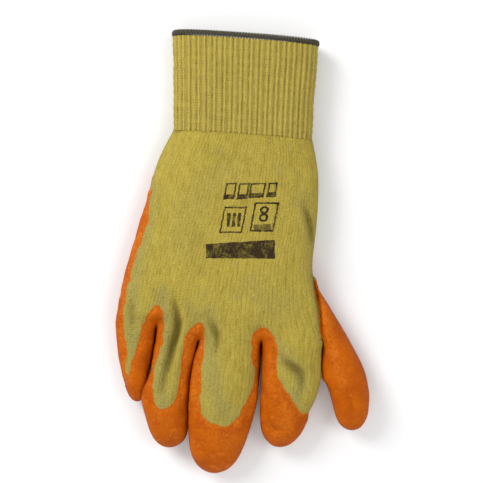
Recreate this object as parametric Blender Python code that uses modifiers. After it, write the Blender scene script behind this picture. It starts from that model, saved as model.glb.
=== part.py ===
"""Knitted work glove for a right hand, dipped in latex, lying palm down.

The glove lies along Y, fingers towards -Y and cuff towards +Y, with the back of the hand up.
The origin is the middle of the palm, on the surface that the glove rests on. Metres.
"""

import math
from collections import namedtuple

import bmesh
import bpy
from mathutils import Vector

# Sizes of the glove, in metres
WRIST_REACH = 0.062  # palm middle to the wrist line
WEB_REACH = 0.047  # palm middle to the webs between the fingers
PALM_WIDTH = 0.110
PALM_HEIGHT = 0.0215
FINGER_HEIGHT = 0.0150
PINKY_LENGTH = 0.0385  # each finger is measured from the line of the webs
RING_LENGTH = 0.0606
MIDDLE_LENGTH = 0.0738
INDEX_LENGTH = 0.0568
THUMB_LENGTH = 0.0490  # from its own web
THUMB_WIDTH = 0.0200
THUMB_SPLAY = 0.0088  # how far the thumb leans away from the index finger
WEB_GAP = 0.0046  # knit to knit between two fingers, room for both coatings
CUFF_LENGTH = 0.0500
HEM_WIDTH = 0.0800
HEM_DEPTH = 0.0034
HEM_THICKNESS = 0.0026
CUFF_HEIGHT = 0.0200
KNIT_THICKNESS = 0.0014
CUFF_THICKNESS = 0.0017
LATEX_THICKNESS = 0.0009
FIT_GAP = 0.0003  # between neighbouring solids

SKIN_FLOOR = LATEX_THICKNESS + FIT_GAP  # the knit's underside, above the coating

# The cage that Catmull-Clark smoothing rounds. Its rings pull in an eight-sided tube to
# about nine tenths of its size, so the tubes are drawn larger.
RING_GROWTH = 1.10
BACK_POINTS = 12  # points across the back of a palm ring, three for each finger
RIGHT_SIDE = BACK_POINTS  # the ring's point at the hand's right edge
LEFT_SIDE = 2 * BACK_POINTS + 1
SIDE_LEVEL = 0.44  # height of a ring's side points, as a share of its height
SIDE_INSET = 0.18  # how far the back's first point stands in from the edge, in heights
SIDE_BULGE = 0.06  # how far the side points stand out, in heights
CROWN_DROP = 0.24  # how much lower the back is at its edges

KNIT_COLOUR = (0.62, 0.56, 0.16, 1.0)
LATEX_COLOUR = (0.80, 0.24, 0.02, 1.0)
THREAD_COLOUR = (0.03, 0.03, 0.02, 1.0)

# Cross sections of the palm. along: share of the wrist reach (+) or the web reach (-);
# left and right: edges as shares of the palm width; height: share of the palm height.
PalmRow = namedtuple("PalmRow", "along left right height")
PALM_ROWS = (
    PalmRow(1.00, -0.318, 0.374, 0.90),
    PalmRow(0.74, -0.386, 0.416, 0.97),
    PalmRow(0.48, -0.414, 0.424, 1.00),
    PalmRow(0.20, -0.438, 0.424, 1.00),
    PalmRow(-0.08, -0.474, 0.412, 1.00),
    PalmRow(-0.34, -0.498, 0.426, 0.99),
    PalmRow(-0.60, -0.515, 0.444, 0.97),
    PalmRow(-0.81, -0.520, 0.446, 0.94),
)

# The line where palm turns into fingers. x: share of the palm width; along: as above. The
# first and last rows are the hand's edges, the others the webs.
Web = namedtuple("Web", "x along")
ROOT_LEFT = Web(-0.516, -0.92)
ROOT_RIGHT = Web(0.462, -0.98)
WEBS = (Web(-0.327, -0.90), Web(-0.117, -1.03), Web(0.187, -1.00))
ROOT_HEIGHTS = (0.78, 0.84, 0.90, 0.86)  # each finger's root, in palm heights
WEB_DROP = 0.24  # how much lower the back is beside a web
WEB_SETBACK = 0.05  # the webs' upper edge lies back from their middle, in web reaches

# Cross sections of a finger. along: share of its length from the webs; centre and width:
# shares of the palm width; height and lift: shares of the finger height; roll: degrees,
# which raises the side nearer the little finger.
Section = namedtuple("Section", "along centre width height lift roll")
Finger = namedtuple("Finger", "name length sections tip")
FINGERS = (
    Finger(
        "pinky",
        PINKY_LENGTH,
        (
            Section(0.25, -0.424, 0.158, 0.92, 0.00, 6),
            Section(0.50, -0.425, 0.128, 0.90, 0.00, 8),
            Section(0.74, -0.420, 0.096, 0.82, 0.00, 8),
            Section(0.91, -0.412, 0.070, 0.58, 0.04, 6),
        ),
        -0.408,
    ),
    Finger(
        "ring",
        RING_LENGTH,
        (
            Section(0.20, -0.238, 0.181, 1.00, 0.12, 8),
            Section(0.45, -0.252, 0.190, 0.98, 0.24, 12),
            Section(0.71, -0.251, 0.198, 0.92, 0.16, 10),
            Section(0.91, -0.234, 0.164, 0.70, 0.08, 6),
        ),
        -0.236,
    ),
    Finger(
        "middle",
        MIDDLE_LENGTH,
        (
            Section(0.17, 0.033, 0.308, 1.14, 0.14, 5),
            Section(0.40, 0.026, 0.326, 1.12, 0.26, 8),
            Section(0.67, 0.012, 0.288, 1.02, 0.18, 8),
            Section(0.90, -0.006, 0.214, 0.78, 0.08, 5),
        ),
        -0.004,
    ),
    Finger(
        "index",
        INDEX_LENGTH,
        (
            Section(0.20, 0.343, 0.268, 1.06, 0.16, 5),
            Section(0.45, 0.346, 0.264, 1.02, 0.20, 8),
            Section(0.71, 0.326, 0.226, 0.92, 0.12, 8),
            Section(0.91, 0.308, 0.164, 0.70, 0.06, 5),
        ),
        0.307,
    ),
)

# The thumb, out of the palm's edge. along: share of the thumb length from its web; away: its
# inner edge's distance from the index finger's line, in splays; width: share of the thumb
# width; height and lift: shares of the finger height.
ThumbSection = namedtuple("ThumbSection", "along away width height lift")
THUMB_ROWS = (5, 7)  # the palm rows that its root spans
THUMB_WEB_ALONG = -0.955  # its web, as along in the palm's rows
THUMB_WEB_AWAY = 0.16
THUMB_WEB_HEIGHTS = (0.80, 0.42, 0.0)  # back, side and palm of that web, in finger heights
THUMB_SECTIONS = (
    ThumbSection(0.032, 0.05, 0.64, 0.86, 0.00),
    ThumbSection(0.230, 0.01, 0.88, 0.98, 0.02),
    ThumbSection(0.430, 0.19, 0.99, 1.04, 0.04),
    ThumbSection(0.655, 0.65, 0.90, 0.98, 0.04),
    ThumbSection(0.890, 1.00, 0.715, 0.72, 0.04),
)
TIP_LEVEL = 0.30  # height of a fingertip's point, in finger heights
TIP_REACH = 1.05  # that point's place, in finger lengths: smoothing draws it in
THUMB_TIP_REACH = 1.03

# Folds pressed into the back of the glove. Places are (along, x) on the hand, width is a
# share of the palm width and depth a share of the palm height.
Fold = namedtuple("Fold", "name along_a x_a along_b x_b width depth")
FOLDS = (
    Fold("ring_crease", -0.62, -0.243, -1.38, -0.268, 0.034, 0.19),
    Fold("pinky_root", -0.62, -0.462, -1.05, -0.452, 0.030, 0.09),
    Fold("middle_root", -0.86, -0.040, -1.08, -0.020, 0.022, 0.10),
    Fold("index_crease", -1.12, 0.290, -1.24, 0.390, 0.024, 0.10),
    Fold("index_side", -1.24, 0.390, -1.36, 0.425, 0.024, 0.08),
    Fold("palm_side", 0.36, 0.355, -0.10, 0.402, 0.028, 0.11),
    Fold("thumb_crease", -0.26, 0.424, -0.86, 0.462, 0.030, 0.15),
)

# The edge of the bare knit on each finger's back. along: share of the finger's length; left
# and right: shares of its half width. The last row of a finger is the knit's point.
Bare = namedtuple("Bare", "along left right")
BARE_TONGUES = (
    (Bare(0.00, -0.59, 0.36), Bare(0.25, -0.49, 0.13), Bare(0.52, -0.54, -0.20), Bare(0.68, -0.45, -0.45)),
    (Bare(0.02, -0.66, 0.52), Bare(0.33, -0.76, 0.56), Bare(0.58, -0.54, 0.38), Bare(0.67, -0.18, -0.18)),
    (Bare(0.02, -0.84, 0.76), Bare(0.30, -0.70, 0.84), Bare(0.54, -0.60, 0.56), Bare(0.64, 0.12, 0.12)),
    (Bare(0.02, -0.54, 1.30), Bare(0.30, -0.47, 1.30), Bare(0.56, 0.20, 0.95), Bare(0.665, 0.66, 0.66)),
)
THUMB_EDGE = (  # the same edge, from the index finger up along the thumb's crease
    Web(0.490, -0.92), Web(0.440, -0.64), Web(0.418, -0.34), Web(0.440, -0.20), Web(0.540, -0.15),
)
WEB_BORDER = 0.0065  # coating above each web, on the back of the hand
SIDE_STRIP = 0.0048  # coating that wraps over the little finger's side
STRIP_TOP = Web(-0.60, 0.36)  # where that strip begins
STRIP_ROW = 3  # the first palm row that it follows
WINDOW_FLOOR = 0.46  # the back's opening in the coating starts here, in palm heights
PALM_EDGE = (  # the coating's edge across the palm
    Web(-0.60, 0.34), Web(-0.44, 0.40), Web(-0.34, 0.62), Web(-0.18, 0.74), Web(0.00, 0.77),
    Web(0.16, 0.70), Web(0.30, 0.45), Web(0.37, 0.12), Web(0.43, -0.20), Web(0.50, -0.30),
)
CUTTER_REACH = 1.4  # the cutters end this far past the palm, in wrist reaches
CUTTER_SIDE = 0.8  # and this far to each side, in palm widths
CUTTER_TOP = 3.0  # in palm heights
EDGE_STEPS = 3  # stretches between two points of a cutter's outline

CUFF_RINGS = (0.0, 0.5, 1.0)  # shares of the cuff's length
CUFF_FLARE = 1.5  # power of the curve from the wrist's width to the hem's
HEM_SHIFT = 0.3  # the hem's middle, as a share of the wrist's middle
HEM_OVERHANG = 0.175  # share of the hem's thickness that stands outside the cuff


def hand_y(along):
    """Y of a place along the hand: past -1 it counts middle-finger lengths below the webs."""
    if along >= 0:
        return along * WRIST_REACH
    if along >= -1:
        return along * WEB_REACH
    return -WEB_REACH + (along + 1) * MIDDLE_LENGTH


def blend(a, b, share):
    return a + (b - a) * share


def smooth_step(value):
    value = max(0.0, min(1.0, value))
    return value * value * (3 - 2 * value)


def place(web):
    """A place on the hand, seen from above."""
    return Vector((web.x * PALM_WIDTH, hand_y(web.along)))


def root_columns():
    """X of the twelve columns where the fingers begin: left, middle and right of each."""
    half_gap = WEB_GAP / 2
    lefts = [place(ROOT_LEFT).x] + [place(web).x + half_gap for web in WEBS]
    rights = [place(web).x - half_gap for web in WEBS] + [place(ROOT_RIGHT).x]
    columns = []
    for left, right in zip(lefts, rights):
        columns += [left, (left + right) / 2, right]
    return columns


def section_ring(left, right, height, y, root_share):
    """Points round the hand: back left to right, right side, palm right to left, left side."""
    inset = SIDE_INSET * height
    roots = root_columns()
    top, bottom = [], []
    for k in range(BACK_POINTS):
        even = k / (BACK_POINTS - 1)
        at_root = (roots[k] - roots[0]) / (roots[-1] - roots[0])
        share = blend(even, at_root, root_share)
        x = blend(left + inset, right - inset, share)
        crown = 1 - CROWN_DROP * abs(2 * share - 1) ** 3
        top.append(Vector((x, y, SKIN_FLOOR + height * crown)))
        bottom.append(Vector((x, y, SKIN_FLOOR)))
    side = SKIN_FLOOR + SIDE_LEVEL * height
    right_side = Vector((right + SIDE_BULGE * height, y, side))
    left_side = Vector((left - SIDE_BULGE * height, y, side))
    return top + [right_side] + bottom[::-1] + [left_side]


def palm_ring(row, root_share):
    return section_ring(
        row.left * PALM_WIDTH, row.right * PALM_WIDTH, row.height * PALM_HEIGHT, hand_y(row.along), root_share
    )


def root_ring():
    """The last palm ring, with valleys at the webs, and the two middle points of each web."""
    xs = root_columns()
    edges = [place(web).y for web in (ROOT_LEFT, *WEBS, ROOT_RIGHT)]
    setback = WEB_SETBACK * WEB_REACH
    top, bottom = [], []
    for k, height_share in enumerate(ROOT_HEIGHTS):
        height = height_share * PALM_HEIGHT
        left_y = edges[k] + (setback if k > 0 else 0)
        right_y = edges[k + 1] + (setback if k < len(WEBS) else 0)
        middle_y = (edges[k] + edges[k + 1]) / 2 + setback
        low_back = height * (1 - WEB_DROP)
        for x, y, z in zip(xs[3 * k:], (left_y, middle_y, right_y), (low_back, height, low_back)):
            top.append(Vector((x, y, SKIN_FLOOR + z)))
            bottom.append(Vector((x, y, SKIN_FLOOR)))
    side = SKIN_FLOOR + SIDE_LEVEL * PALM_HEIGHT
    right_side = Vector((xs[-1] + SIDE_BULGE * PALM_HEIGHT, edges[-1], side))
    left_side = Vector((xs[0] - SIDE_BULGE * PALM_HEIGHT, edges[0], side))
    ring = top + [right_side] + bottom[::-1] + [left_side]
    web_middles = []
    for k, y in enumerate(edges[1:-1]):
        for x in (xs[3 * k + 2], xs[3 * k + 3]):
            web_middles.append(Vector((x, y, side)))
    return ring, web_middles


def tube_ring(centre, direction, width, height, roll):
    """Eight points round a finger, from the upper left corner clockwise seen from its root."""
    across = Vector((-direction.y, direction.x, 0)).normalized()
    if across.x < 0:
        across.negate()
    up = Vector((0, 0, 1))
    turn = math.radians(roll)
    wide = across * math.cos(turn) - up * math.sin(turn)
    high = across * math.sin(turn) + up * math.cos(turn)
    ring = []
    for angle in (135, 90, 45, 0, -45, -90, -135, 180):
        a = math.radians(angle)
        ring.append(
            centre
            + wide * (math.cos(a) * width / 2 * RING_GROWTH)
            + high * (math.sin(a) * height / 2 * RING_GROWTH)
        )
    return ring


def finger_centres(finger):
    """Centre line points of a finger's sections, and of its tip."""
    centres = []
    for section in finger.sections:
        height = section.height * FINGER_HEIGHT
        lift = section.lift * FINGER_HEIGHT
        z = SKIN_FLOOR + height / 2 + lift
        centres.append(Vector((section.centre * PALM_WIDTH, -WEB_REACH - section.along * finger.length, z)))
    tip_z = SKIN_FLOOR + TIP_LEVEL * FINGER_HEIGHT
    centres.append(Vector((finger.tip * PALM_WIDTH, -WEB_REACH - finger.length * TIP_REACH, tip_z)))
    return centres


def thumb_line():
    """X of the line that the thumb's inner edge keeps clear of, past the index finger."""
    index = FINGERS[-1]
    edge = max(section.centre + section.width / 2 for section in index.sections)
    return edge * PALM_WIDTH + WEB_GAP / 2


def thumb_centres():
    """Centre line points of the thumb's sections, and of its tip."""
    line = thumb_line()
    web_y = hand_y(THUMB_WEB_ALONG)
    centres = []
    for section in THUMB_SECTIONS:
        x = line + section.away * THUMB_SPLAY + section.width * THUMB_WIDTH / 2
        z = SKIN_FLOOR + (section.height / 2 + section.lift) * FINGER_HEIGHT
        centres.append(Vector((x, web_y - section.along * THUMB_LENGTH, z)))
    tip_z = SKIN_FLOOR + TIP_LEVEL * FINGER_HEIGHT
    centres.append(Vector((centres[-1].x, web_y - THUMB_TIP_REACH * THUMB_LENGTH, tip_z)))
    return centres


def grow_tube(bm, root, centres, sections, rolls, full_width):
    """Adds a finger's tube onto the eight root vertices, and closes its tip with four faces."""
    ring = root
    for k, section in enumerate(sections):
        before = centres[k - 1] if k else sum((v.co for v in root), Vector()) / 8
        direction = centres[k + 1] - before
        width, height = section.width * full_width, section.height * FINGER_HEIGHT
        points = tube_ring(centres[k], direction, width, height, rolls[k])
        new_ring = [bm.verts.new(p) for p in points]
        for j in range(8):
            bm.faces.new((ring[j], ring[(j + 1) % 8], new_ring[(j + 1) % 8], new_ring[j]))
        ring = new_ring
    tip = bm.verts.new(centres[-1])
    for j in (0, 2, 4, 6):
        bm.faces.new((ring[(j - 1) % 8], ring[j], ring[(j + 1) % 8], tip))


def add_palm(bm, rows):
    """Faces between the palm's rings, with a hole where the thumb goes."""
    thumb_columns = (RIGHT_SIDE - 1, RIGHT_SIDE)
    count = len(rows[0])
    for j, (row, next_row) in enumerate(zip(rows, rows[1:])):
        for k in range(count):
            in_thumb = THUMB_ROWS[0] <= j < THUMB_ROWS[1] and k in thumb_columns
            if not in_thumb:
                after = (k + 1) % count
                bm.faces.new((row[k], row[after], next_row[after], next_row[k]))


def add_webs(bm, back, palm, middles):
    """Two faces between each pair of fingers. back and palm run from left to right."""
    for k in range(len(WEBS)):
        left, right = 3 * k + 2, 3 * k + 3
        left_middle, right_middle = middles[2 * k], middles[2 * k + 1]
        bm.faces.new((back[left], back[right], right_middle, left_middle))
        bm.faces.new((left_middle, right_middle, palm[right], palm[left]))


def hand_cage():
    """The coarse cage of the hand: palm, four fingers and thumb, open at the wrist."""
    bm = bmesh.new()
    last = len(PALM_ROWS)
    rings = [palm_ring(row, smooth_step(j / last)) for j, row in enumerate(PALM_ROWS)]
    root, web_middles = root_ring()
    rings.append(root)
    thumb_side = (RIGHT_SIDE - 1, RIGHT_SIDE, RIGHT_SIDE + 1)
    first, final = THUMB_ROWS
    thumb_web_x = thumb_line() + THUMB_WEB_AWAY * THUMB_SPLAY
    for k, height in zip(thumb_side, THUMB_WEB_HEIGHTS):
        web_z = SKIN_FLOOR + height * FINGER_HEIGHT
        rings[final][k] = Vector((thumb_web_x, hand_y(THUMB_WEB_ALONG), web_z))
    rows = [[bm.verts.new(p) for p in ring] for ring in rings]
    middles = [bm.verts.new(p) for p in web_middles]
    add_palm(bm, rows)

    roots = rows[-1]
    back = roots[:BACK_POINTS]
    palm = roots[LEFT_SIDE - 1:RIGHT_SIDE:-1]
    add_webs(bm, back, palm, middles)
    sides = [roots[LEFT_SIDE], *middles, roots[RIGHT_SIDE]]
    for k, finger in enumerate(FINGERS):
        across = slice(3 * k, 3 * k + 3)
        left, right = sides[2 * k], sides[2 * k + 1]
        loop = back[across] + [right] + palm[across][::-1] + [left]
        rolls = [section.roll for section in finger.sections]
        grow_tube(bm, loop, finger_centres(finger), finger.sections, rolls, PALM_WIDTH)

    top, side, low = thumb_side
    thumb_root = [rows[j][top] for j in range(final, first - 1, -1)]
    thumb_root += [rows[first][side]]
    thumb_root += [rows[j][low] for j in range(first, final + 1)]
    thumb_root += [rows[final][side]]
    grow_tube(bm, thumb_root, thumb_centres(), THUMB_SECTIONS, [0] * len(THUMB_SECTIONS), THUMB_WIDTH)
    bmesh.ops.recalc_face_normals(bm, faces=bm.faces)
    mesh = bpy.data.meshes.new("hand_cage")
    bm.to_mesh(mesh)
    bm.free()
    return mesh


def fold_depth(point):
    """How far the folds press this point of the back down."""
    depth = 0.0
    for fold in FOLDS:
        a = Vector((fold.x_a * PALM_WIDTH, hand_y(fold.along_a)))
        b = Vector((fold.x_b * PALM_WIDTH, hand_y(fold.along_b)))
        run = b - a
        share = max(0.0, min(1.0, (Vector(point[:2]) - a).dot(run) / run.length_squared))
        away = (Vector(point[:2]) - a - run * share).length / (fold.width * PALM_WIDTH)
        depth += fold.depth * PALM_HEIGHT * math.exp(-away * away) * (0.45 + 0.55 * math.sin(math.pi * share))
    return depth


def press_folds(mesh):
    """Presses the folds into the upward faces, and rests the underside on the flat."""
    for vertex in mesh.vertices:
        facing = smooth_step((vertex.normal.z - 0.1) / 0.5)
        vertex.co.z -= fold_depth(vertex.co) * facing
        vertex.co.z = max(vertex.co.z, SKIN_FLOOR)
    mesh.update()


def triangulate(mesh):
    """Cuts the skin into triangles, so that knit and coating share every diagonal."""
    bm = bmesh.new()
    bm.from_mesh(mesh)
    bmesh.ops.triangulate(bm, faces=bm.faces, quad_method="SHORT_EDGE")
    bm.to_mesh(mesh)
    bm.free()


def evaluated_mesh(obj):
    """The object's mesh with its modifiers applied, as a new mesh. The object is removed."""
    bpy.context.view_layer.update()
    graph = bpy.context.evaluated_depsgraph_get()
    mesh = bpy.data.meshes.new_from_object(obj.evaluated_get(graph))
    bpy.data.objects.remove(obj)
    return mesh


def add_object(name, mesh, collection):
    obj = bpy.data.objects.new(name, mesh)
    collection.objects.link(obj)
    return obj


def add_subdivision(obj, levels):
    modifier = obj.modifiers.new("smooth", "SUBSURF")
    modifier.levels = levels
    modifier.render_levels = levels


def add_wall(obj, thickness, outward):
    modifier = obj.modifiers.new("wall", "SOLIDIFY")
    modifier.thickness = thickness
    modifier.offset = 1 if outward else -1
    modifier.use_even_offset = True
    modifier.use_quality_normals = True


def add_cut(obj, cutter):
    modifier = obj.modifiers.new("cut", "BOOLEAN")
    modifier.operation = "DIFFERENCE"
    modifier.object = cutter


def material(name, colour, roughness):
    made = bpy.data.materials.new(name)
    made.use_nodes = True
    shader = made.node_tree.nodes["Principled BSDF"]
    shader.inputs["Base Color"].default_value = colour
    shader.inputs["Roughness"].default_value = roughness
    shader.inputs["Metallic"].default_value = 0.0
    return made


def smooth_line(points, steps):
    """An open line through the points, rounded as a Catmull-Rom curve."""
    made = []
    ends = [2 * points[0] - points[1]] + points + [2 * points[-1] - points[-2]]
    for a, b, c, d in zip(ends, ends[1:], ends[2:], ends[3:]):
        for step in range(steps):
            t = step / steps
            bend = (2 * a - 5 * b + 4 * c - d) * t ** 2 + (3 * b - a - 3 * c + d) * t ** 3
            made.append(0.5 * (2 * b + (c - a) * t + bend))
    return made + [points[-1]]


def prism(name, points, low, high, collection):
    """A cutter: the flat outline, filled and extruded from low to high."""
    curve = bpy.data.curves.new(name, "CURVE")
    curve.dimensions = "2D"
    curve.fill_mode = "BOTH"
    curve.extrude = (high - low) / 2
    spline = curve.splines.new("POLY")
    spline.points.add(len(points) - 1)
    for point, place in zip(spline.points, points):
        point.co = (place.x, place.y, 0, 1)
    spline.use_cyclic_u = True
    mesh = evaluated_mesh(add_object(name, curve, collection))
    bm = bmesh.new()
    bm.from_mesh(mesh)
    bmesh.ops.remove_doubles(bm, verts=bm.verts, dist=1e-6)
    bmesh.ops.recalc_face_normals(bm, faces=bm.faces)
    bm.to_mesh(mesh)
    bm.free()
    cutter = add_object(name, mesh, collection)
    cutter.location.z = (low + high) / 2
    cutter.hide_render = True
    cutter.display_type = "WIRE"
    return cutter


def finger_edge(finger, along, across):
    """A place on a finger's back: along its length, and across in half widths."""
    index = FINGERS.index(finger)
    xs = root_columns()
    root_centre = xs[3 * index + 1]
    root_half = (xs[3 * index + 2] - xs[3 * index]) / 2 + SKIN_FLOOR
    places = [(0.0, root_centre, root_half)]
    for section in finger.sections:
        half = section.width * PALM_WIDTH / 2 + SKIN_FLOOR
        places.append((section.along, section.centre * PALM_WIDTH, half))
    for low, high in zip(places, places[1:]):
        if along <= high[0] or high is places[-1]:
            share = (along - low[0]) / (high[0] - low[0])
            centre = blend(low[1], high[1], share)
            half = blend(low[2], high[2], share)
            return Vector((centre + across * half, -WEB_REACH - along * finger.length))
    return None


def window_outline():
    """The edge of the bare knit on the back of the hand, from the wrist's left and round."""
    points = [place(STRIP_TOP)]
    for row in PALM_ROWS[STRIP_ROW:]:
        points.append(Vector((row.left * PALM_WIDTH + SIDE_STRIP, hand_y(row.along))))
    borders = [[place(web) + Vector((0, WEB_BORDER))] for web in WEBS] + [[]]
    for finger, tongue, border in zip(FINGERS, BARE_TONGUES, borders):
        lefts = [finger_edge(finger, row.along, row.left) for row in tongue]
        rights = [finger_edge(finger, row.along, row.right) for row in tongue[:-1]]
        points += lefts + rights[::-1] + border
    points += [place(web) for web in THUMB_EDGE]
    corners = [place(Web(CUTTER_SIDE, CUTTER_REACH)), place(Web(-CUTTER_SIDE, CUTTER_REACH))]
    return smooth_line(points, EDGE_STEPS) + corners


def palm_outline():
    """Everything on the wrist side of the coating's edge across the palm."""
    edge = [place(web) for web in PALM_EDGE]
    first, last = PALM_EDGE[0].along, PALM_EDGE[-1].along
    right = [Web(CUTTER_SIDE, last), Web(CUTTER_SIDE, CUTTER_REACH)]
    left = [Web(-CUTTER_SIDE, CUTTER_REACH), Web(-CUTTER_SIDE, first)]
    return smooth_line(edge, EDGE_STEPS) + [place(corner) for corner in right + left]


def make_hand(parts, cutters):
    """The knitted hand, and the latex that it was dipped in."""
    cage = add_object("hand_cage", hand_cage(), parts)
    add_subdivision(cage, 1)
    skin = evaluated_mesh(cage)
    press_folds(skin)
    triangulate(skin)

    liner = add_object("hand_liner", skin, parts)
    add_wall(liner, KNIT_THICKNESS, outward=False)
    liner.data.materials.append(material("yellow_knit", KNIT_COLOUR, 0.9))

    coating = add_object("latex_coating", skin.copy(), parts)
    coating.data.materials.clear()
    coating.data.materials.append(material("orange_latex", LATEX_COLOUR, 0.5))
    lift = coating.modifiers.new("clear_of_knit", "DISPLACE")
    lift.strength = FIT_GAP
    lift.mid_level = 0.0
    add_wall(coating, LATEX_THICKNESS, outward=True)
    cutter_top = CUTTER_TOP * PALM_HEIGHT
    window = prism("window_cutter", window_outline(), WINDOW_FLOOR * PALM_HEIGHT, cutter_top, cutters)
    wrist = prism("wrist_cutter", palm_outline(), -PALM_HEIGHT, cutter_top, cutters)
    add_cut(coating, window)
    add_cut(coating, wrist)


def cuff_sections():
    """Left, right, height and place of the cuff's rings, from the wrist to the hem."""
    wrist = PALM_ROWS[0]
    left, right = wrist.left * PALM_WIDTH, wrist.right * PALM_WIDTH
    middle = (left + right) / 2
    rings = []
    for along in CUFF_RINGS:
        half = blend((right - left) / 2, HEM_WIDTH / 2, along ** CUFF_FLARE)
        centre = blend(middle, HEM_SHIFT * middle, along)
        height = blend(wrist.height * PALM_HEIGHT, CUFF_HEIGHT, along)
        rings.append((centre - half, centre + half, height, along))
    return rings


def tube_mesh(name, rings):
    """An open tube through rings of points."""
    bm = bmesh.new()
    rows = [[bm.verts.new(p) for p in ring] for ring in rings]
    count = len(rows[0])
    for low, high in zip(rows, rows[1:]):
        for k in range(count):
            bm.faces.new((low[k], low[(k + 1) % count], high[(k + 1) % count], high[k]))
    bmesh.ops.recalc_face_normals(bm, faces=bm.faces)
    mesh = bpy.data.meshes.new(name)
    bm.to_mesh(mesh)
    bm.free()
    return mesh


def make_cuff(parts):
    """The elastic cuff, and the overlock stitching round its end."""
    start = WRIST_REACH + FIT_GAP
    rings = []
    for left, right, height, along in cuff_sections():
        rings.append(section_ring(left, right, height, start + along * CUFF_LENGTH, 0.0))
    cuff = add_object("rib_cuff", tube_mesh("rib_cuff", rings), parts)
    add_subdivision(cuff, 1)
    add_wall(cuff, CUFF_THICKNESS, outward=False)
    cuff.data.materials.append(material("rib_knit", KNIT_COLOUR, 0.9))

    left, right, height, _ = cuff_sections()[-1]
    hem_start = start + CUFF_LENGTH + FIT_GAP
    hem_rings = [
        section_ring(left, right, height, hem_start + share * HEM_DEPTH, 0.0) for share in (0.0, 1.0)
    ]
    hem = add_object("overlock_hem", tube_mesh("overlock_hem", hem_rings), parts)
    add_subdivision(hem, 1)
    add_wall(hem, HEM_THICKNESS, outward=False)
    hem.modifiers["wall"].offset = 2 * HEM_OVERHANG - 1
    hem.data.materials.append(material("hem_thread", THREAD_COLOUR, 0.8))


def main():
    for obj in list(bpy.data.objects):
        bpy.data.objects.remove(obj)
    parts = bpy.data.collections.new("work_glove")
    cutters = bpy.data.collections.new("cutters")
    for collection in (parts, cutters):
        bpy.context.scene.collection.children.link(collection)
    make_hand(parts, cutters)
    make_cuff(parts)


main()
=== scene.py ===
"""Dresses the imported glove: knit, dipped latex, rib cuff, overlocked hem, floor, light and camera."""

import math
from collections import namedtuple

import bmesh
import bpy
import numpy as np
from bpy.props import FloatProperty, FloatVectorProperty, IntProperty, PointerProperty
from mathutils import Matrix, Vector


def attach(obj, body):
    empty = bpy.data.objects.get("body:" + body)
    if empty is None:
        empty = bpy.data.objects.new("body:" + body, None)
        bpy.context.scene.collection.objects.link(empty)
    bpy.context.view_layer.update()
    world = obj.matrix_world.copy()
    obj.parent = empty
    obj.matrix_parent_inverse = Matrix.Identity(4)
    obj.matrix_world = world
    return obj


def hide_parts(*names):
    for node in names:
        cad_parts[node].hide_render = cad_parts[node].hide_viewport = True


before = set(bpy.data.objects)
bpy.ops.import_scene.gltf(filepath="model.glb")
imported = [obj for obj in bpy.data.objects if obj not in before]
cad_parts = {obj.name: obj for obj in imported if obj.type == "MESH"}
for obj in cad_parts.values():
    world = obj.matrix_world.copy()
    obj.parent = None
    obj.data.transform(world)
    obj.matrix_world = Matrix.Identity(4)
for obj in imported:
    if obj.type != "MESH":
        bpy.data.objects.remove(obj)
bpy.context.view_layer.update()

bl_info = {
    "name": "Dipped Work Glove",
    "version": (1, 0, 0),
    "blender": (4, 5, 0),
    "location": "View3D > Sidebar > Glove",
    "description": "Knits, dips and finishes a right-hand work glove round its packed solids",
    "category": "Add Mesh",
}

MM = 0.001

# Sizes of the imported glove, in metres
WRIST_REACH = 0.062
WEB_REACH = 0.047
PALM_WIDTH = 0.110
PALM_HEIGHT = 0.0215
FINGER_HEIGHT = 0.0150
THUMB_LENGTH = 0.0490
THUMB_WIDTH = 0.0200
THUMB_SPLAY = 0.0088
WEB_GAP = 0.0046
CUFF_LENGTH = 0.0500
HEM_WIDTH = 0.0800
HEM_DEPTH = 0.0034
CUFF_HEIGHT = 0.0200
KNIT_THICKNESS = 0.0014
COAT_REACH = 0.0012  # the coating's outer face stands this far off the knit's
FIT_GAP = 0.0003
SKIN_FLOOR = COAT_REACH  # the knit lies this high, on its coating

# The cage that the smoothing rounds, as in the solids
RING_GROWTH = 1.10
TUBE_ANGLES = (135, 90, 45, 0, -45, -90, -135, 180)
BACK_POINTS = 12
RIGHT_SIDE = BACK_POINTS
LEFT_SIDE = 2 * BACK_POINTS + 1
SIDE_LEVEL = 0.44
SIDE_INSET = 0.18
SIDE_BULGE = 0.06
CROWN_DROP = 0.24
SKIN_LEVELS = 3
CUFF_LEVELS = 4

PalmRow = namedtuple("PalmRow", "along left right height")
PALM_ROWS = (
    PalmRow(1.00, -0.318, 0.374, 0.90),
    PalmRow(0.74, -0.386, 0.416, 0.97),
    PalmRow(0.48, -0.414, 0.424, 1.00),
    PalmRow(0.20, -0.438, 0.424, 1.00),
    PalmRow(-0.08, -0.474, 0.412, 1.00),
    PalmRow(-0.34, -0.498, 0.426, 0.99),
    PalmRow(-0.60, -0.515, 0.444, 0.97),
    PalmRow(-0.81, -0.520, 0.446, 0.94),
)

Web = namedtuple("Web", "x along")
ROOT_LEFT = Web(-0.516, -0.92)
ROOT_RIGHT = Web(0.462, -0.98)
WEBS = (Web(-0.327, -0.90), Web(-0.117, -1.03), Web(0.187, -1.00))
ROOT_HEIGHTS = (0.78, 0.84, 0.90, 0.86)
WEB_DROP = 0.24
WEB_SETBACK = 0.05
WEB_KNIT = 10 * MM  # the knit that each half of a web takes up

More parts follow.
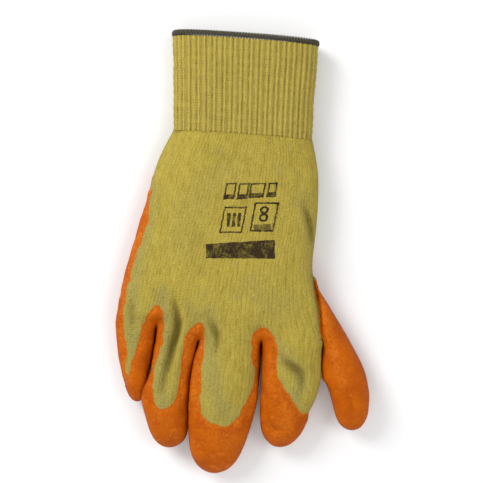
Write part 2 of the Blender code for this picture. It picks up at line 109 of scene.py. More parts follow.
Section = namedtuple("Section", "along centre width height lift roll")
Finger = namedtuple("Finger", "length tip sections")
FINGERS = (
    # little
    Finger(0.0385, -0.408, (
        Section(0.25, -0.424, 0.158, 0.92, 0.00, 6),
        Section(0.50, -0.425, 0.128, 0.90, 0.00, 8),
        Section(0.74, -0.420, 0.096, 0.82, 0.00, 8),
        Section(0.91, -0.412, 0.070, 0.58, 0.04, 6),
    )),
    # ring
    Finger(0.0606, -0.236, (
        Section(0.20, -0.238, 0.181, 1.00, 0.12, 8),
        Section(0.45, -0.252, 0.190, 0.98, 0.24, 12),
        Section(0.71, -0.251, 0.198, 0.92, 0.16, 10),
        Section(0.91, -0.234, 0.164, 0.70, 0.08, 6),
    )),
    # middle
    Finger(0.0738, -0.004, (
        Section(0.17, 0.033, 0.308, 1.14, 0.14, 5),
        Section(0.40, 0.026, 0.326, 1.12, 0.26, 8),
        Section(0.67, 0.012, 0.288, 1.02, 0.18, 8),
        Section(0.90, -0.006, 0.214, 0.78, 0.08, 5),
    )),
    # index
    Finger(0.0568, 0.307, (
        Section(0.20, 0.343, 0.268, 1.06, 0.16, 5),
        Section(0.45, 0.346, 0.264, 1.02, 0.20, 8),
        Section(0.71, 0.326, 0.226, 0.92, 0.12, 8),
        Section(0.91, 0.308, 0.164, 0.70, 0.06, 5),
    )),
)
MIDDLE_LENGTH = FINGERS[2].length

ThumbSection = namedtuple("ThumbSection", "along away width height lift roll", defaults=(0,))
THUMB_ROWS = (5, 7)
THUMB_WEB_ALONG = -0.955
THUMB_WEB_AWAY = 0.16
THUMB_WEB_HEIGHTS = (0.80, 0.42, 0.0)
THUMB_SECTIONS = (
    ThumbSection(0.032, 0.05, 0.64, 0.86, 0.00),
    ThumbSection(0.230, 0.01, 0.88, 0.98, 0.02),
    ThumbSection(0.430, 0.19, 0.99, 1.04, 0.04),
    ThumbSection(0.655, 0.65, 0.90, 0.98, 0.04),
    ThumbSection(0.890, 1.00, 0.715, 0.72, 0.04),
)
TIP_LEVEL = 0.30
TIP_REACH = 1.05
THUMB_TIP_REACH = 1.03

# Creases in the back of the glove: places in mm, half width and depth in mm, and the share of
# the depth that swells up beside the crease.
CREASE_RIM = 2.0  # the rim's distance, in half widths
CREASE_ENDS = 0.25  # the share of the depth that is left at a crease's ends
Crease = namedtuple("Crease", "places width depth rim")
CREASES = (
    # The fold in the ring finger, the deepest one
    Crease(((-27.1, -27.5), (-24.6, -38.0), (-24.4, -44.3), (-26.7, -56.4), (-30.2, -77.0)), 2.3, 4.4, 0.3),
    Crease(((-36.5, -22.0), (-33.0, -29.0), (-30.0, -34.0)), 3.4, 1.3, 0.2),  # ring hollow
    Crease(((-19.5, -34.0), (-20.0, -46.0), (-22.5, -60.0)), 1.6, 0.7, 0.4),  # ring ridge
    Crease(((-50.5, -28.7), (-49.0, -36.0), (-47.2, -48.1)), 2.4, 1.9, 0.3),  # little root
    Crease(((-9.0, -36.0), (-4.8, -41.7), (-2.4, -47.8), (-2.5, -56.0)), 1.9, 2.7, 0.4),  # middle root
    Crease(((30.0, -54.0), (36.5, -58.6), (43.5, -63.5), (45.0, -72.5)), 2.1, 2.7, 0.4),  # index fold
    Crease(((34.0, -47.0), (43.0, -52.5), (48.0, -53.5)), 1.9, 0.8, 0.5),  # index back
    Crease(((38.5, 26.5), (42.4, 16.8), (45.0, 3.5)), 1.9, 2.4, 0.4),  # palm side
    Crease(((45.2, -8.0), (47.0, -15.0), (50.4, -28.5), (53.4, -44.0)), 1.3, 4.0, 0.0),  # thumb root
    Crease(((25.5, -83.0), (28.5, -91.0), (34.0, -94.5), (40.0, -92.0)), 1.6, 0.9, 0.6),  # index pad
    Crease(((25.0, -66.5), (29.0, -69.5), (34.0, -70.0)), 1.8, 0.6, 0.5),  # index joint
    Crease(((-36.0, -80.0), (-32.0, -88.5), (-25.0, -90.5)), 1.7, 0.6, 0.6),  # ring joint
    Crease(((68.0, -69.0), (71.0, -77.0), (73.0, -84.5)), 1.8, 1.3, 0.3),  # thumb streak
    Crease(((57.5, -60.0), (61.0, -57.0), (66.0, -57.5)), 1.9, 0.5, 0.5),  # thumb joint
    Crease(((-50.0, 4.0), (-48.6, -9.0), (-49.5, -20.0)), 2.2, 0.7, 0.3),  # left side
)

# Where the knit is greyer: along the folds and sides this is painted shade, elsewhere stretched and dusty
# knit. Places and half width in mm, and how much
Tint = namedtuple("Tint", "places width share")
TINTS = (
    Tint(((-43.5, 30.0), (-45.3, 9.2), (-48.6, -11.0), (-49.1, -36.0), (-47.3, -61.0)), 4.2, 0.9),
    Tint(((-33.6, -25.0), (-30.4, -39.6), (-29.6, -54.5), (-31.7, -69.6), (-29.6, -84.4)), 4.0, 1.0),
    Tint(((-8.1, -34.0), (-6.0, -52.9), (-2.6, -72.5), (4.5, -87.0)), 5.0, 0.9),
    Tint(((-18.5, -31.0), (-15.5, -36.0)), 3.5, 0.7),
    Tint(((37.0, 30.0), (41.0, 16.8), (44.0, 2.0), (44.5, -12.0)), 4.5, 0.6),
    Tint(((28.0, -50.0), (36.5, -57.0), (43.0, -66.0), (40.0, -78.0)), 4.6, 0.9),
    Tint(((-5.0, 42.0), (-22.0, 20.0), (-24.0, 2.0)), 9.0, 0.35),
    Tint(((14.0, -18.0), (26.0, -30.0), (33.0, -24.0)), 8.0, 0.4),
)
# Where highlights are painted on the latex, in the same way
LATEX_HIGHLIGHTS = (
    Tint(((52.0, -27.0), (53.8, -32.5), (61.6, -53.8), (65.6, -66.9)), 2.6, 0.9),
    Tint(((30.0, -73.0), (33.0, -78.0), (37.5, -87.0), (33.0, -97.0)), 3.6, 0.9),
    Tint(((26.8, -56.0), (28.5, -70.0)), 2.4, 0.6),
    Tint(((-3.0, -97.0), (5.0, -100.0), (10.0, -105.0)), 5.0, 0.6),
    Tint(((-14.8, -55.0), (-13.5, -70.0), (-11.8, -84.0)), 2.4, 0.7),
    Tint(((-33.0, -91.0), (-27.0, -93.0)), 3.5, 0.5),
)

# How far each fingertip reaches past the cage's: past a start it moves over a run by x and y, in mm
Lean = namedtuple("Lean", "start run x y")
LEANS = (
    Lean(-64.0, -18.0, 1.2, 0.0), Lean(-84.0, -20.0, 1.2, -2.0),
    Lean(-95.0, -20.0, 0.0, -1.8), Lean(-86.0, -16.0, 0.0, -1.0),
)
# The thumb leans out: its outer side past this X and Y, and all of it past that Y, over these runs
THUMB_LEAN = 2.1 * MM
THUMB_SIDE_X, THUMB_SIDE_Y, THUMB_END_Y = (57.0, 15.0), (-44.0, -20.0), (-62.0, -11.0)

# The ring finger's left side swells out next to the little finger's tip: left of X over a reach,
# about Y over a length, by so much, in mm
Bulge = namedtuple("Bulge", "x reach y length out")
RING_BULGE = Bulge(-27.0, 10.0, -82.0, 7.5, 2.2)

# How close the fingers lie, at places along Y: the gap from skin to skin, and how far the finger on
# the left leans over first, in mm. Skins that are closer than the gap stay.
Slit = namedtuple("Slit", "y gap lean")
SLITS = (
    (Slit(-46, 4.6, 0), Slit(-58, 3.6, 0), Slit(-66, 2.7, 0), Slit(-86, 2.5, 0)),
    (Slit(-47, 4.0, 0), Slit(-50.5, 2.4, 0), Slit(-54, 2.3, 0), Slit(-101, 2.3, 0)),
    (Slit(-49, 4.6, 0), Slit(-60, 3.9, 0), Slit(-84, 3.4, 0)),
    (
        Slit(-43, 2.4, 0.2), Slit(-46, 1.4, 0.6), Slit(-54, 1.3, 1.2), Slit(-62, 1.3, 1.6),
        Slit(-66, 1.7, 1.8), Slit(-69, 30, 1.8), Slit(-75, 30, 1.3), Slit(-81, 30, 0.2), Slit(-84, 30, 0),
    ),
)
SLIT_REACH = 2.8 * MM  # no skin moves further than this
SLIT_CLEAR = 3.0 * MM  # the fingers' sides are measured this far below the web
SLIT_BIN = 2.0 * MM
SLIT_BLUR = (0.06, 0.24, 0.40, 0.24, 0.06)
SLIT_FADE = 9.0  # over its last stretch, in mm, a slit opens by itself
WEB_RUN = 12.0 * MM  # below a web, this far until two fingers part halfway between their edges
# Low on their sides the fingers swell until they touch: the height and half height of the swell,
# how far it reaches, the gap from skin to skin, how it starts at the web, and where it ends, in mm.
Swell = namedtuple("Swell", "height half reach gap start run ends")
SLIT_SWELL = Swell(5.4, 3.2, 3.6, 2.2, 4.0, 10.0, (-76.0, -94.0, -88.0))
SWELL_SIDE = (0.2, 0.5)  # it starts at this share of the way from a finger's middle to its side

# The edge of the bare knit on each finger's back, and round the rest of the dip line
Bare = namedtuple("Bare", "along left right")
BARE_TONGUES = (
    (Bare(0.00, -0.59, 0.36), Bare(0.25, -0.49, 0.13), Bare(0.52, -0.54, -0.20), Bare(0.68, -0.45, -0.45)),
    (Bare(0.02, -0.66, 0.52), Bare(0.33, -0.76, 0.56), Bare(0.58, -0.54, 0.38), Bare(0.67, -0.18, -0.18)),
    (Bare(0.02, -0.84, 0.76), Bare(0.30, -0.70, 0.84), Bare(0.54, -0.60, 0.56), Bare(0.64, 0.12, 0.12)),
    (Bare(0.02, -0.54, 1.30), Bare(0.30, -0.47, 1.30), Bare(0.56, 0.20, 0.95), Bare(0.665, 0.66, 0.66)),
)
THUMB_EDGE = (
    Web(0.482, -0.93), Web(0.462, -0.64), Web(0.432, -0.36), Web(0.444, -0.25), Web(0.540, -0.15),
)
# The dip line over each web, in mm from the web
WEB_BORDERS = (((-2.4, 7.8), (2.4, 7.8)), ((-1.8, 8.3), (1.8, 8.3)), ((0.0, 6.8),))
SIDE_STRIP = 0.0031
STRIP_TOP = (Web(-0.60, 0.74), Web(-0.414, 0.50), Web(-0.412, 0.36))
STRIP_ROW = 3
WINDOW_FLOOR = 0.46
PALM_EDGE = (
    Web(-0.60, 0.58), Web(-0.44, 0.58), Web(-0.34, 0.66), Web(-0.18, 0.74), Web(0.00, 0.77),
    Web(0.16, 0.70), Web(0.30, 0.45), Web(0.37, 0.12), Web(0.43, -0.20), Web(0.50, -0.30),
)
OUTLINE_REACH = 1.4
OUTLINE_SIDE = 0.8
EDGE_STEPS = 6

# The stamp on the back: centre, width and height in mm, turn in degrees, and slant
Mark = namedtuple("Mark", "x y width height turn slant")
BAR = Mark(6.2, 0.4, 36.6, 8.8, 5.6, 0.0)
BAR_SPREAD = 8.0  # the bar grows to the right by this share of its height a metre
FRAMES = (Mark(1.2, 16.1, 12.2, 14.0, 4.0, 0.20), Mark(17.5, 18.8, 13.0, 15.6, 4.0, 0.20))
BLOCKS = (
    Mark(-1.4, 31.2, 5.8, 8.6, 7.0, 0.23), Mark(5.4, 31.6, 5.8, 8.4, 7.0, 0.23),
    Mark(12.8, 32.5, 8.4, 7.8, 7.0, 0.23), Mark(20.6, 33.4, 5.0, 7.6, 7.0, 0.23),
)
# How much narrower and lower the inside of a frame or block is, and how far it lies above the middle
FRAME_LINES = (1.9, 1.9, 0.0)
BLOCK_LINES = (2.0, 3.4, 0.9)
NUMBER = Mark(17.2, 20.4, 0.0, 0.0, 5.0, 0.1)
NUMBER_RINGS = ((1.95, 4.7, 4.3), (-1.95, 5.2, 4.7))  # the eight: centre, width and height
NUMBER_LINE = (2.6, 2.4)
STROKE = Mark(1.6, 16.2, 1.7, 7.4, 5.0, 0.1)
STROKE_STEP = 2.8 * MM
PATCH = Mark(16.8, 13.2, 9.2, 3.4, 6.0, 0.0)
PATCH_INK = 0.75
INK_FLOOR = 0.6 * PALM_HEIGHT  # only the back above this height is stamped
RAGGED_SIZE, RAGGED_REACH = 2.2 * MM, 1.6 * MM  # how its edges wander

CUFF_RINGS = (0.0, 0.25, 0.5, 0.75, 1.0)
CUFF_FLARE = 1.5
HEM_SHIFT = 0.3
HEM_THICKNESS = 0.0026
HEM_OVERHANG = 0.175
HEM_ROLL = 0.55 * MM  # how much of the hem's section is thread
HEM_INNER = -0.25 * MM  # the rolled edge that shows between the loops
HEM_FOUND = 0.01 * MM  # points this near the hem's start are on it
HEM_STEPS = 184
HEM_SIDES = 12
LOOP_STEPS = 14
THREAD_SIDES = 6

# Where the skin's mesh is finer: within so many mm of the dip line, and from this crease on
FINE_DIP = 2.2
FINE_CREASE = 0.55
# Z of the normal, and the run over which the back's creases or the latex's crinkle set in
BACK_FACING = (0.1, 0.5)
SIDE_FACING = (-0.1, 0.5)
SWELL_SHADE = 0.7  # how much of the swell lightens the shade of the creases

STREAK_STRETCH = 0.26  # streaks and flecks run along the wales, drawn out by one over this

# How thick the latex lies: it thins out towards the dip line
COAT_START = -0.6 * MM
COAT_FULL = 4.0 * MM
COAT_SUNK = -0.30 * MM
THUMB_MARGIN = 1.2 * MM

# Bumps in a surface: height in mm, size in mm, and seed
BUMP_GRID = 32  # the bumps come again after so many
BUMP_SHIFT = 7.31  # keeps layers with other seeds off each other's grid
DIP_WANDER = ((0.8, 4.0, 3), (0.25, 1.6, 4))
BACK_SWELL = ((0.75, 17.0, 11), (0.45, 8.0, 12), (0.2, 4.0, 13))
LATEX_CRINKLE = ((0.10, 2.6, 21), (0.06, 1.3, 22))
CUFF_SLACK = ((0.35, 9.0, 32),)
RIB_WANDER = ((0.05, 14.0, 31),)  # this one is in ribs
CUFF_ENDS = 4.0  # the slack fades out over the cuff's length divided by this
RIB_ROUND = 0.7
ELASTIC_DEPTH = 0.22 * MM

LOOP_SLANT = 0.32  # in loops
LOOP_SINK = 0.9  # the thread lies this share of its radius in the hem's outline

# The stage: lamps with their place, size in metres and power in watts, then the sky and the camera
LAMPS = (
    ("key_light", (-0.75, 0.55, 0.60), 0.60, 10.2),
    ("fill_light", (0.75, 0.10, 0.80), 0.8, 3.6),
    ("front_light", (0.0, -0.80, 0.70), 0.9, 3.0),
)
SKY_STRENGTH = 0.52
FLOOR_DROP = 0.2 * MM
LENS, FILM_WIDTH = 85, 36  # in mm
LOOKED_AT = (6.4 * MM, 5.0 * MM, 12 * MM)
CAMERA_ROLL = 4.06


def srgb(*levels):
    """A colour as a screen shows it, from 0 to 255, as the linear one that shaders use."""
    shares = [level / 255 for level in levels]
    return (*[s / 12.92 if s <= 0.04045 else ((s + 0.055) / 1.055) ** 2.4 for s in shares], 1.0)


def blend(a, b, share):
    return a + (b - a) * share


def smooth_step(value):
    value = np.clip(value, 0.0, 1.0)
    return value * value * (3 - 2 * value)


def past(value, start, run):
    """0 up to the start, and 1 from a run further on. The run may be negative."""
    return smooth_step((value - start) / run)


def hand_y(along):
    """Y of a place along the hand: past -1 it counts middle-finger lengths below the webs."""
    if along >= 0:
        return along * WRIST_REACH
    if along >= -1:
        return along * WEB_REACH
    return -WEB_REACH + (along + 1) * MIDDLE_LENGTH


def place(web):
    """A place on the hand, seen from above."""
    return Vector((web.x * PALM_WIDTH, hand_y(web.along)))


def root_columns():
    """X of the twelve columns where the fingers begin: left, middle and right of each."""
    half_gap = WEB_GAP / 2
    lefts = [place(ROOT_LEFT).x] + [place(web).x + half_gap for web in WEBS]
    rights = [place(web).x - half_gap for web in WEBS] + [place(ROOT_RIGHT).x]
    columns = []
    for left, right in zip(lefts, rights):
        columns += [left, (left + right) / 2, right]
    return columns


def closed_ring(back, left, right, height):
    """Points round the hand: back left to right, right side, palm right to left, left side."""
    palm = [Vector((point.x, point.y, SKIN_FLOOR)) for point in back]
    side = SKIN_FLOOR + SIDE_LEVEL * height
    right_side = Vector((right[0] + SIDE_BULGE * height, right[1], side))
    left_side = Vector((left[0] - SIDE_BULGE * height, left[1], side))
    return back + [right_side] + palm[::-1] + [left_side]


def section_ring(left, right, height, y, root_share):
    """A level ring. The root share draws its columns to where the fingers begin."""
    inset = SIDE_INSET * height
    roots = root_columns()
    back = []
    for k in range(BACK_POINTS):
        even = k / (BACK_POINTS - 1)
        at_root = (roots[k] - roots[0]) / (roots[-1] - roots[0])
        share = blend(even, at_root, root_share)
        crown = 1 - CROWN_DROP * abs(2 * share - 1) ** 3
        back.append(Vector((blend(left + inset, right - inset, share), y, SKIN_FLOOR + height * crown)))
    return closed_ring(back, (left, y), (right, y), height)


def palm_ring(row, root_share):
    left, right = row.left * PALM_WIDTH, row.right * PALM_WIDTH
    return section_ring(left, right, row.height * PALM_HEIGHT, hand_y(row.along), root_share)


def root_ring():
    """The last palm ring, with valleys at the webs, and the two middle points of each web."""
    xs = root_columns()
    edges = [place(web).y for web in (ROOT_LEFT, *WEBS, ROOT_RIGHT)]
    setback = WEB_SETBACK * WEB_REACH
    back = []
    for k, height_share in enumerate(ROOT_HEIGHTS):
        height = height_share * PALM_HEIGHT
        left_y = edges[k] + (setback if k > 0 else 0)
        right_y = edges[k + 1] + (setback if k < len(WEBS) else 0)
        middle_y = (edges[k] + edges[k + 1]) / 2 + setback
        low_back = height * (1 - WEB_DROP)
        for x, y, z in zip(xs[3 * k:], (left_y, middle_y, right_y), (low_back, height, low_back)):
            back.append(Vector((x, y, SKIN_FLOOR + z)))
    ring = closed_ring(back, (xs[0], edges[0]), (xs[-1], edges[-1]), PALM_HEIGHT)
    side = SKIN_FLOOR + SIDE_LEVEL * PALM_HEIGHT
    return ring, [Vector((xs[3 * k + j], y, side)) for k, y in enumerate(edges[1:-1]) for j in (2, 3)]


def tube_ring(centre, direction, width, height, roll):
    """Eight points round a finger, from the upper left corner clockwise seen from its root."""
    across = Vector((-direction.y, direction.x, 0)).normalized()
    if across.x < 0:
        across.negate()
    up = Vector((0, 0, 1))
    turn = math.radians(roll)
    wide = across * math.cos(turn) - up * math.sin(turn)
    high = across * math.sin(turn) + up * math.cos(turn)
    ring = []
    for angle in map(math.radians, TUBE_ANGLES):
        aside = wide * (math.cos(angle) * width / 2 * RING_GROWTH)
        ring.append(centre + aside + high * (math.sin(angle) * height / 2 * RING_GROWTH))
    return ring


def tube_centres(sections, xs, start, length, tip_reach):
    """The middles of a finger's sections, from its start on, and its tip."""
    alongs = [section.along for section in sections] + [tip_reach]
    levels = [section.height / 2 + section.lift for section in sections] + [TIP_LEVEL]
    return [
        Vector((x, start - along * length, SKIN_FLOOR + level * FINGER_HEIGHT))
        for x, along, level in zip(xs, alongs, levels)
    ]


def finger_centres(finger):
    xs = [x * PALM_WIDTH for x in (*[section.centre for section in finger.sections], finger.tip)]
    return tube_centres(finger.sections, xs, -WEB_REACH, finger.length, TIP_REACH)


def thumb_line():
    """X of the line that the thumb's inner edge keeps clear of, past the index finger."""
    edge = max(section.centre + section.width / 2 for section in FINGERS[-1].sections)
    return edge * PALM_WIDTH + WEB_GAP / 2


def thumb_centres():
    line = thumb_line()
    xs = [line + section.away * THUMB_SPLAY + section.width * THUMB_WIDTH / 2 for section in THUMB_SECTIONS]
    return tube_centres(THUMB_SECTIONS, xs + xs[-1:], hand_y(THUMB_WEB_ALONG), THUMB_LENGTH, THUMB_TIP_REACH)


class Cage:
    """A quad cage under construction. Each corner carries its place in the knit, in metres."""

    def __init__(self):
        self.bm = bmesh.new()
        self.knit = self.bm.loops.layers.uv.new("knit")
        self.turn = self.bm.loops.layers.uv.new("turn")

    def points(self, places):
        return [self.bm.verts.new(p) for p in places]

    def face(self, corners, knit, turns=(0, 0, 0, 0)):
        face = self.bm.faces.new(corners)
        for loop, stitch, turn in zip(face.loops, knit, turns):
            loop[self.knit].uv = stitch
            loop[self.turn].uv = (turn, 0)

    def quad(self, low, high, k, across, turn=0, turn_after=0):
        """A face between two rings. Its place in the knit is how far across it lies, and its Y."""
        after = (k + 1) % len(low)
        corners = (low[k], low[after], high[after], high[k])
        us = (across[k], across[k + 1], across[k + 1], across[k])
        knit = [(u, corner.co.y) for u, corner in zip(us, corners)]
        self.face(corners, knit, (turn, turn_after, turn_after, turn))

    def mesh(self, name):
        bmesh.ops.recalc_face_normals(self.bm, faces=self.bm.faces)
        made = bpy.data.meshes.new(name)
        self.bm.to_mesh(made)
        self.bm.free()
        return made


def around(ring):
    """How far round its ring each point lies, ending with the whole way round."""
    steps = [(b - a).length for a, b in zip(ring, ring[1:] + ring[:1])]
    return [sum(steps[:k]) for k in range(len(steps) + 1)]


def add_rings(cage, rows, girth, left_out=()):
    """Faces between rings of cage points. Wales run along Y, courses round the ring."""
    count = len(rows[0])
    for j, (low, high) in enumerate(zip(rows, rows[1:])):
        for k in range(count):
            if (j, k) not in left_out:
                cage.quad(low, high, k, girth, k / count, (k + 1) / count)


def grow_tube(cage, root, centres, sections, full_width, root_across):
    """A finger's tube on the eight root points, closed at its tip by four faces."""
    ring, count = root, len(root)
    width, height = sections[1].width * full_width, sections[1].height * FINGER_HEIGHT
    girth = around(tube_ring(centres[1], centres[2] - centres[0], width, height, 0))
    across = list(root_across) + [root_across[2] + girth[k] - girth[2] for k in range(3, count + 1)]
    for k, section in enumerate(sections):
        before = centres[k - 1] if k else sum((v.co for v in root), Vector()) / count
        width, height = section.width * full_width, section.height * FINGER_HEIGHT
        new_ring = cage.points(tube_ring(centres[k], centres[k + 1] - before, width, height, section.roll))
        for j in range(count):
            cage.quad(ring, new_ring, j, across)
        ring = new_ring
    tip = cage.points([centres[-1]])[0]
    step = girth[2] / 2
    for j in range(0, count, 2):
        corners = (ring[j - 1], ring[j], ring[j + 1], tip)
        us = (across[j] - step, across[j], across[j] + step, across[j])
        cage.face(corners, [(u, corner.co.y) for u, corner in zip(us, corners)])


def hand_cage():
    """The coarse cage of the hand: palm, four fingers and thumb, open at the wrist."""
    cage = Cage()
    last = len(PALM_ROWS)
    rings = [palm_ring(row, float(smooth_step(j / last))) for j, row in enumerate(PALM_ROWS)]
    root, web_middles = root_ring()
    rings.append(root)
    thumb_side = (RIGHT_SIDE - 1, RIGHT_SIDE, RIGHT_SIDE + 1)
    first, final = THUMB_ROWS
    thumb_web_x = thumb_line() + THUMB_WEB_AWAY * THUMB_SPLAY
    for k, height in zip(thumb_side, THUMB_WEB_HEIGHTS):
        web_z = SKIN_FLOOR + height * FINGER_HEIGHT
        rings[final][k] = Vector((thumb_web_x, hand_y(THUMB_WEB_ALONG), web_z))
    girth = around(rings[last // 2])
    rows = [cage.points(ring) for ring in rings]
    middles = cage.points(web_middles)
    add_rings(cage, rows, girth, [(j, k) for j in range(first, final) for k in thumb_side[:2]])

    roots = rows[-1]
    back = roots[:BACK_POINTS]
    palm = roots[LEFT_SIDE - 1:RIGHT_SIDE:-1]
    for k in range(len(WEBS)):
        left, right = 3 * k + 2, 3 * k + 3
        left_middle, right_middle = middles[2 * k], middles[2 * k + 1]
        us = (girth[left], girth[right], girth[right], girth[left])
        depths = (0, 0, -WEB_KNIT, -WEB_KNIT)
        for corners in (
            (back[left], back[right], right_middle, left_middle),
            (left_middle, right_middle, palm[right], palm[left]),
        ):
            cage.face(corners, [(u, corners[0].co.y + depth) for u, depth in zip(us, depths)])
    sides = [roots[LEFT_SIDE], *middles, roots[RIGHT_SIDE]]
    for k, finger in enumerate(FINGERS):
        across = slice(3 * k, 3 * k + 3)
        left, right = sides[2 * k], sides[2 * k + 1]
        loop = back[across] + [right] + palm[across][::-1] + [left]
        grow_tube(cage, loop, finger_centres(finger), finger.sections, PALM_WIDTH, girth[across])

    top, side, low = thumb_side
    thumb_root = [rows[j][top] for j in range(final, first - 1, -1)]
    thumb_root += [rows[first][side]]
    thumb_root += [rows[j][low] for j in range(first, final + 1)]
    thumb_root += [rows[final][side]]
    start = girth[top]
    spread = (start, start + THUMB_WIDTH / 2, start + THUMB_WIDTH)
    grow_tube(cage, thumb_root, thumb_centres(), THUMB_SECTIONS, THUMB_WIDTH, spread)
    return cage.mesh("hand_cage")


def smooth_line(points, steps):
    """An open line through the points, rounded as a Catmull-Rom curve."""
    made = []
    ends = [2 * points[0] - points[1]] + points + [2 * points[-1] - points[-2]]
    for a, b, c, d in zip(ends, ends[1:], ends[2:], ends[3:]):
        for step in range(steps):
            t = step / steps
            bend = (2 * a - 5 * b + 4 * c - d) * t ** 2 + (3 * b - a - 3 * c + d) * t ** 3
            made.append(0.5 * (2 * b + (c - a) * t + bend))
    return made + [points[-1]]


def finger_edge(k, along, across):
    """A place on a finger's back: along its length, and across in half widths."""
    finger = FINGERS[k]
    xs = root_columns()
    root_half = (xs[3 * k + 2] - xs[3 * k]) / 2 + SKIN_FLOOR
    places = [(0.0, xs[3 * k + 1], root_half)]
    for section in finger.sections:
        half = section.width * PALM_WIDTH / 2 + SKIN_FLOOR
        places.append((section.along, section.centre * PALM_WIDTH, half))
    alongs, centres, halves = zip(*places)
    x = np.interp(along, alongs, centres) + across * np.interp(along, alongs, halves)
    return Vector((x, -WEB_REACH - along * finger.length))


def window_outline():
    """The edge of the bare knit on the back of the hand, from the wrist's left and round."""
    points = [place(web) for web in STRIP_TOP]
    for row in PALM_ROWS[STRIP_ROW:]:
        points.append(Vector((row.left * PALM_WIDTH + SIDE_STRIP, hand_y(row.along))))
    borders = [[place(web) + Vector(step) * MM for step in border] for web, border in zip(WEBS, WEB_BORDERS)]
    for k, (tongue, border) in enumerate(zip(BARE_TONGUES, borders + [[]])):
        lefts = [finger_edge(k, row.along, row.left) for row in tongue]
        rights = [finger_edge(k, row.along, row.right) for row in tongue[:-1]]
        points += lefts + rights[::-1] + border
    points += [place(web) for web in THUMB_EDGE]
    corners = [place(Web(OUTLINE_SIDE, OUTLINE_REACH)), place(Web(-OUTLINE_SIDE, OUTLINE_REACH))]
    return smooth_line(points, EDGE_STEPS) + corners


def palm_outline():
    """Everything on the wrist side of the coating's edge across the palm."""
    edge = [place(web) for web in PALM_EDGE]
    first, last = PALM_EDGE[0].along, PALM_EDGE[-1].along
    right = [Web(OUTLINE_SIDE, last), Web(OUTLINE_SIDE, OUTLINE_REACH)]
    left = [Web(-OUTLINE_SIDE, OUTLINE_REACH), Web(-OUTLINE_SIDE, first)]
    return smooth_line(edge, EDGE_STEPS) + [place(corner) for corner in right + left]


def outside_distance(places, outline):
    """Signed distance of each place from a closed outline: below zero inside it."""
    nearest = np.full(len(places), np.inf)
    inside = np.zeros(len(places), bool)
    corners = np.array([tuple(p[:2]) for p in outline])
    for a, b in zip(corners, np.roll(corners, -1, axis=0)):
        run = b - a
        away = places - a
        share = np.clip(away @ run / max(run @ run, 1e-12), 0, 1)
        nearest = np.minimum(nearest, np.linalg.norm(away - share[:, None] * run, axis=1))
        crosses = (a[1] > places[:, 1]) != (b[1] > places[:, 1])
        if crosses.any():
            rise = run[1] if run[1] else 1e-12
            cut = a[0] + (places[:, 1] - a[1]) / rise * run[0]
            inside ^= crosses & (places[:, 0] < cut)
    return np.where(inside, -nearest, nearest)


def bumps(places, size, seed):
    """Smooth noise from -1 to 1 at each place, with bumps of about the given size."""
    grid = np.random.RandomState(seed).uniform(-1, 1, (BUMP_GRID, BUMP_GRID, BUMP_GRID))
    scaled = places / size + seed * BUMP_SHIFT
    base = np.floor(scaled).astype(int)
    part = smooth_step(scaled - base)
    total = np.zeros(len(places))
    for corner in np.ndindex(2, 2, 2):
        index = (base + corner) % BUMP_GRID
        weight = np.prod(np.where(corner, part, 1 - part), axis=1)
        total += weight * grid[index[:, 0], index[:, 1], index[:, 2]]
    return total


def rough(places, layers):
    """The sum of several layers of bumps."""
    return sum(height * bumps(places, size * MM, seed) for height, size, seed in layers)


def read_all(items, name, width=1, kind=float):
    """One property of every item, as an array of rows."""
    values = np.empty(len(items) * width, dtype=kind)
    items.foreach_get(name, values)
    return values.reshape(-1, width) if width > 1 else values


def mesh_arrays(mesh):
    """The mesh's points and normals."""
    return read_all(mesh.vertices, "co", 3), read_all(mesh.vertices, "normal", 3)


def point_numbers(mesh, name):
    return read_all(mesh.attributes[name].data, "value")


def set_points(mesh, points):
    mesh.vertices.foreach_set("co", points.ravel())
    mesh.update()


def add_number(mesh, name, values):
    layer = mesh.attributes.new(name, "FLOAT", "POINT")
    layer.data.foreach_set("value", np.asarray(values, dtype=np.float32))


def line_distance(points, places):
    """Distance of each point from a line seen from above, and how far along it the nearest is."""
    line = smooth_line([Vector(p) * MM for p in places], EDGE_STEPS)
    nearest = np.full(len(points), np.inf)
    along = np.zeros(len(points))
    for k, (a, b) in enumerate(zip(line, line[1:])):
        a, run = np.array(a), np.array(b - a)
        share = np.clip((points[:, :2] - a) @ run / (run @ run), 0, 1)
        away = np.linalg.norm(points[:, :2] - a - share[:, None] * run, axis=1)
        along = np.where(away < nearest, (k + share) / (len(line) - 1), along)
        nearest = np.minimum(nearest, away)
    return nearest, along


def crease_depth(points):
    """How far the creases push each point of the back down, and their rims up."""
    depth = np.zeros(len(points))
    for crease in CREASES:
        nearest, along = line_distance(points, crease.places)
        away = nearest / (crease.width * MM)
        ends = blend(CREASE_ENDS, 1, np.sin(np.pi * along))
        profile = np.exp(-away ** 2) - crease.rim * np.exp(-(away - CREASE_RIM) ** 2)
        depth += crease.depth * MM * profile * ends
    return depth


def tinted(points, tints):
    """How strong the tint is at each point, 0 to 1."""
    strength = np.zeros(len(points))
    for tint in tints:
        nearest, _ = line_distance(points, tint.places)
        strength = np.maximum(strength, tint.share * np.exp(-(nearest / (tint.width * MM)) ** 2))
    return strength


def finger_sides(k, y):
    """Centre and half width of a finger at each Y; number 4 is the thumb."""
    if k == len(FINGERS):
        centres = thumb_centres()
        centre = np.interp(-y, [-centre.y for centre in centres], [centre.x for centre in centres])
        return centre, np.full(len(y), THUMB_WIDTH / 2)
    finger = FINGERS[k]
    along = (-WEB_REACH - y) / finger.length
    alongs = [section.along for section in finger.sections]
    centre = np.interp(along, alongs, [section.centre * PALM_WIDTH for section in finger.sections])
    return centre, np.interp(along, alongs, [section.width * PALM_WIDTH / 2 for section in finger.sections])


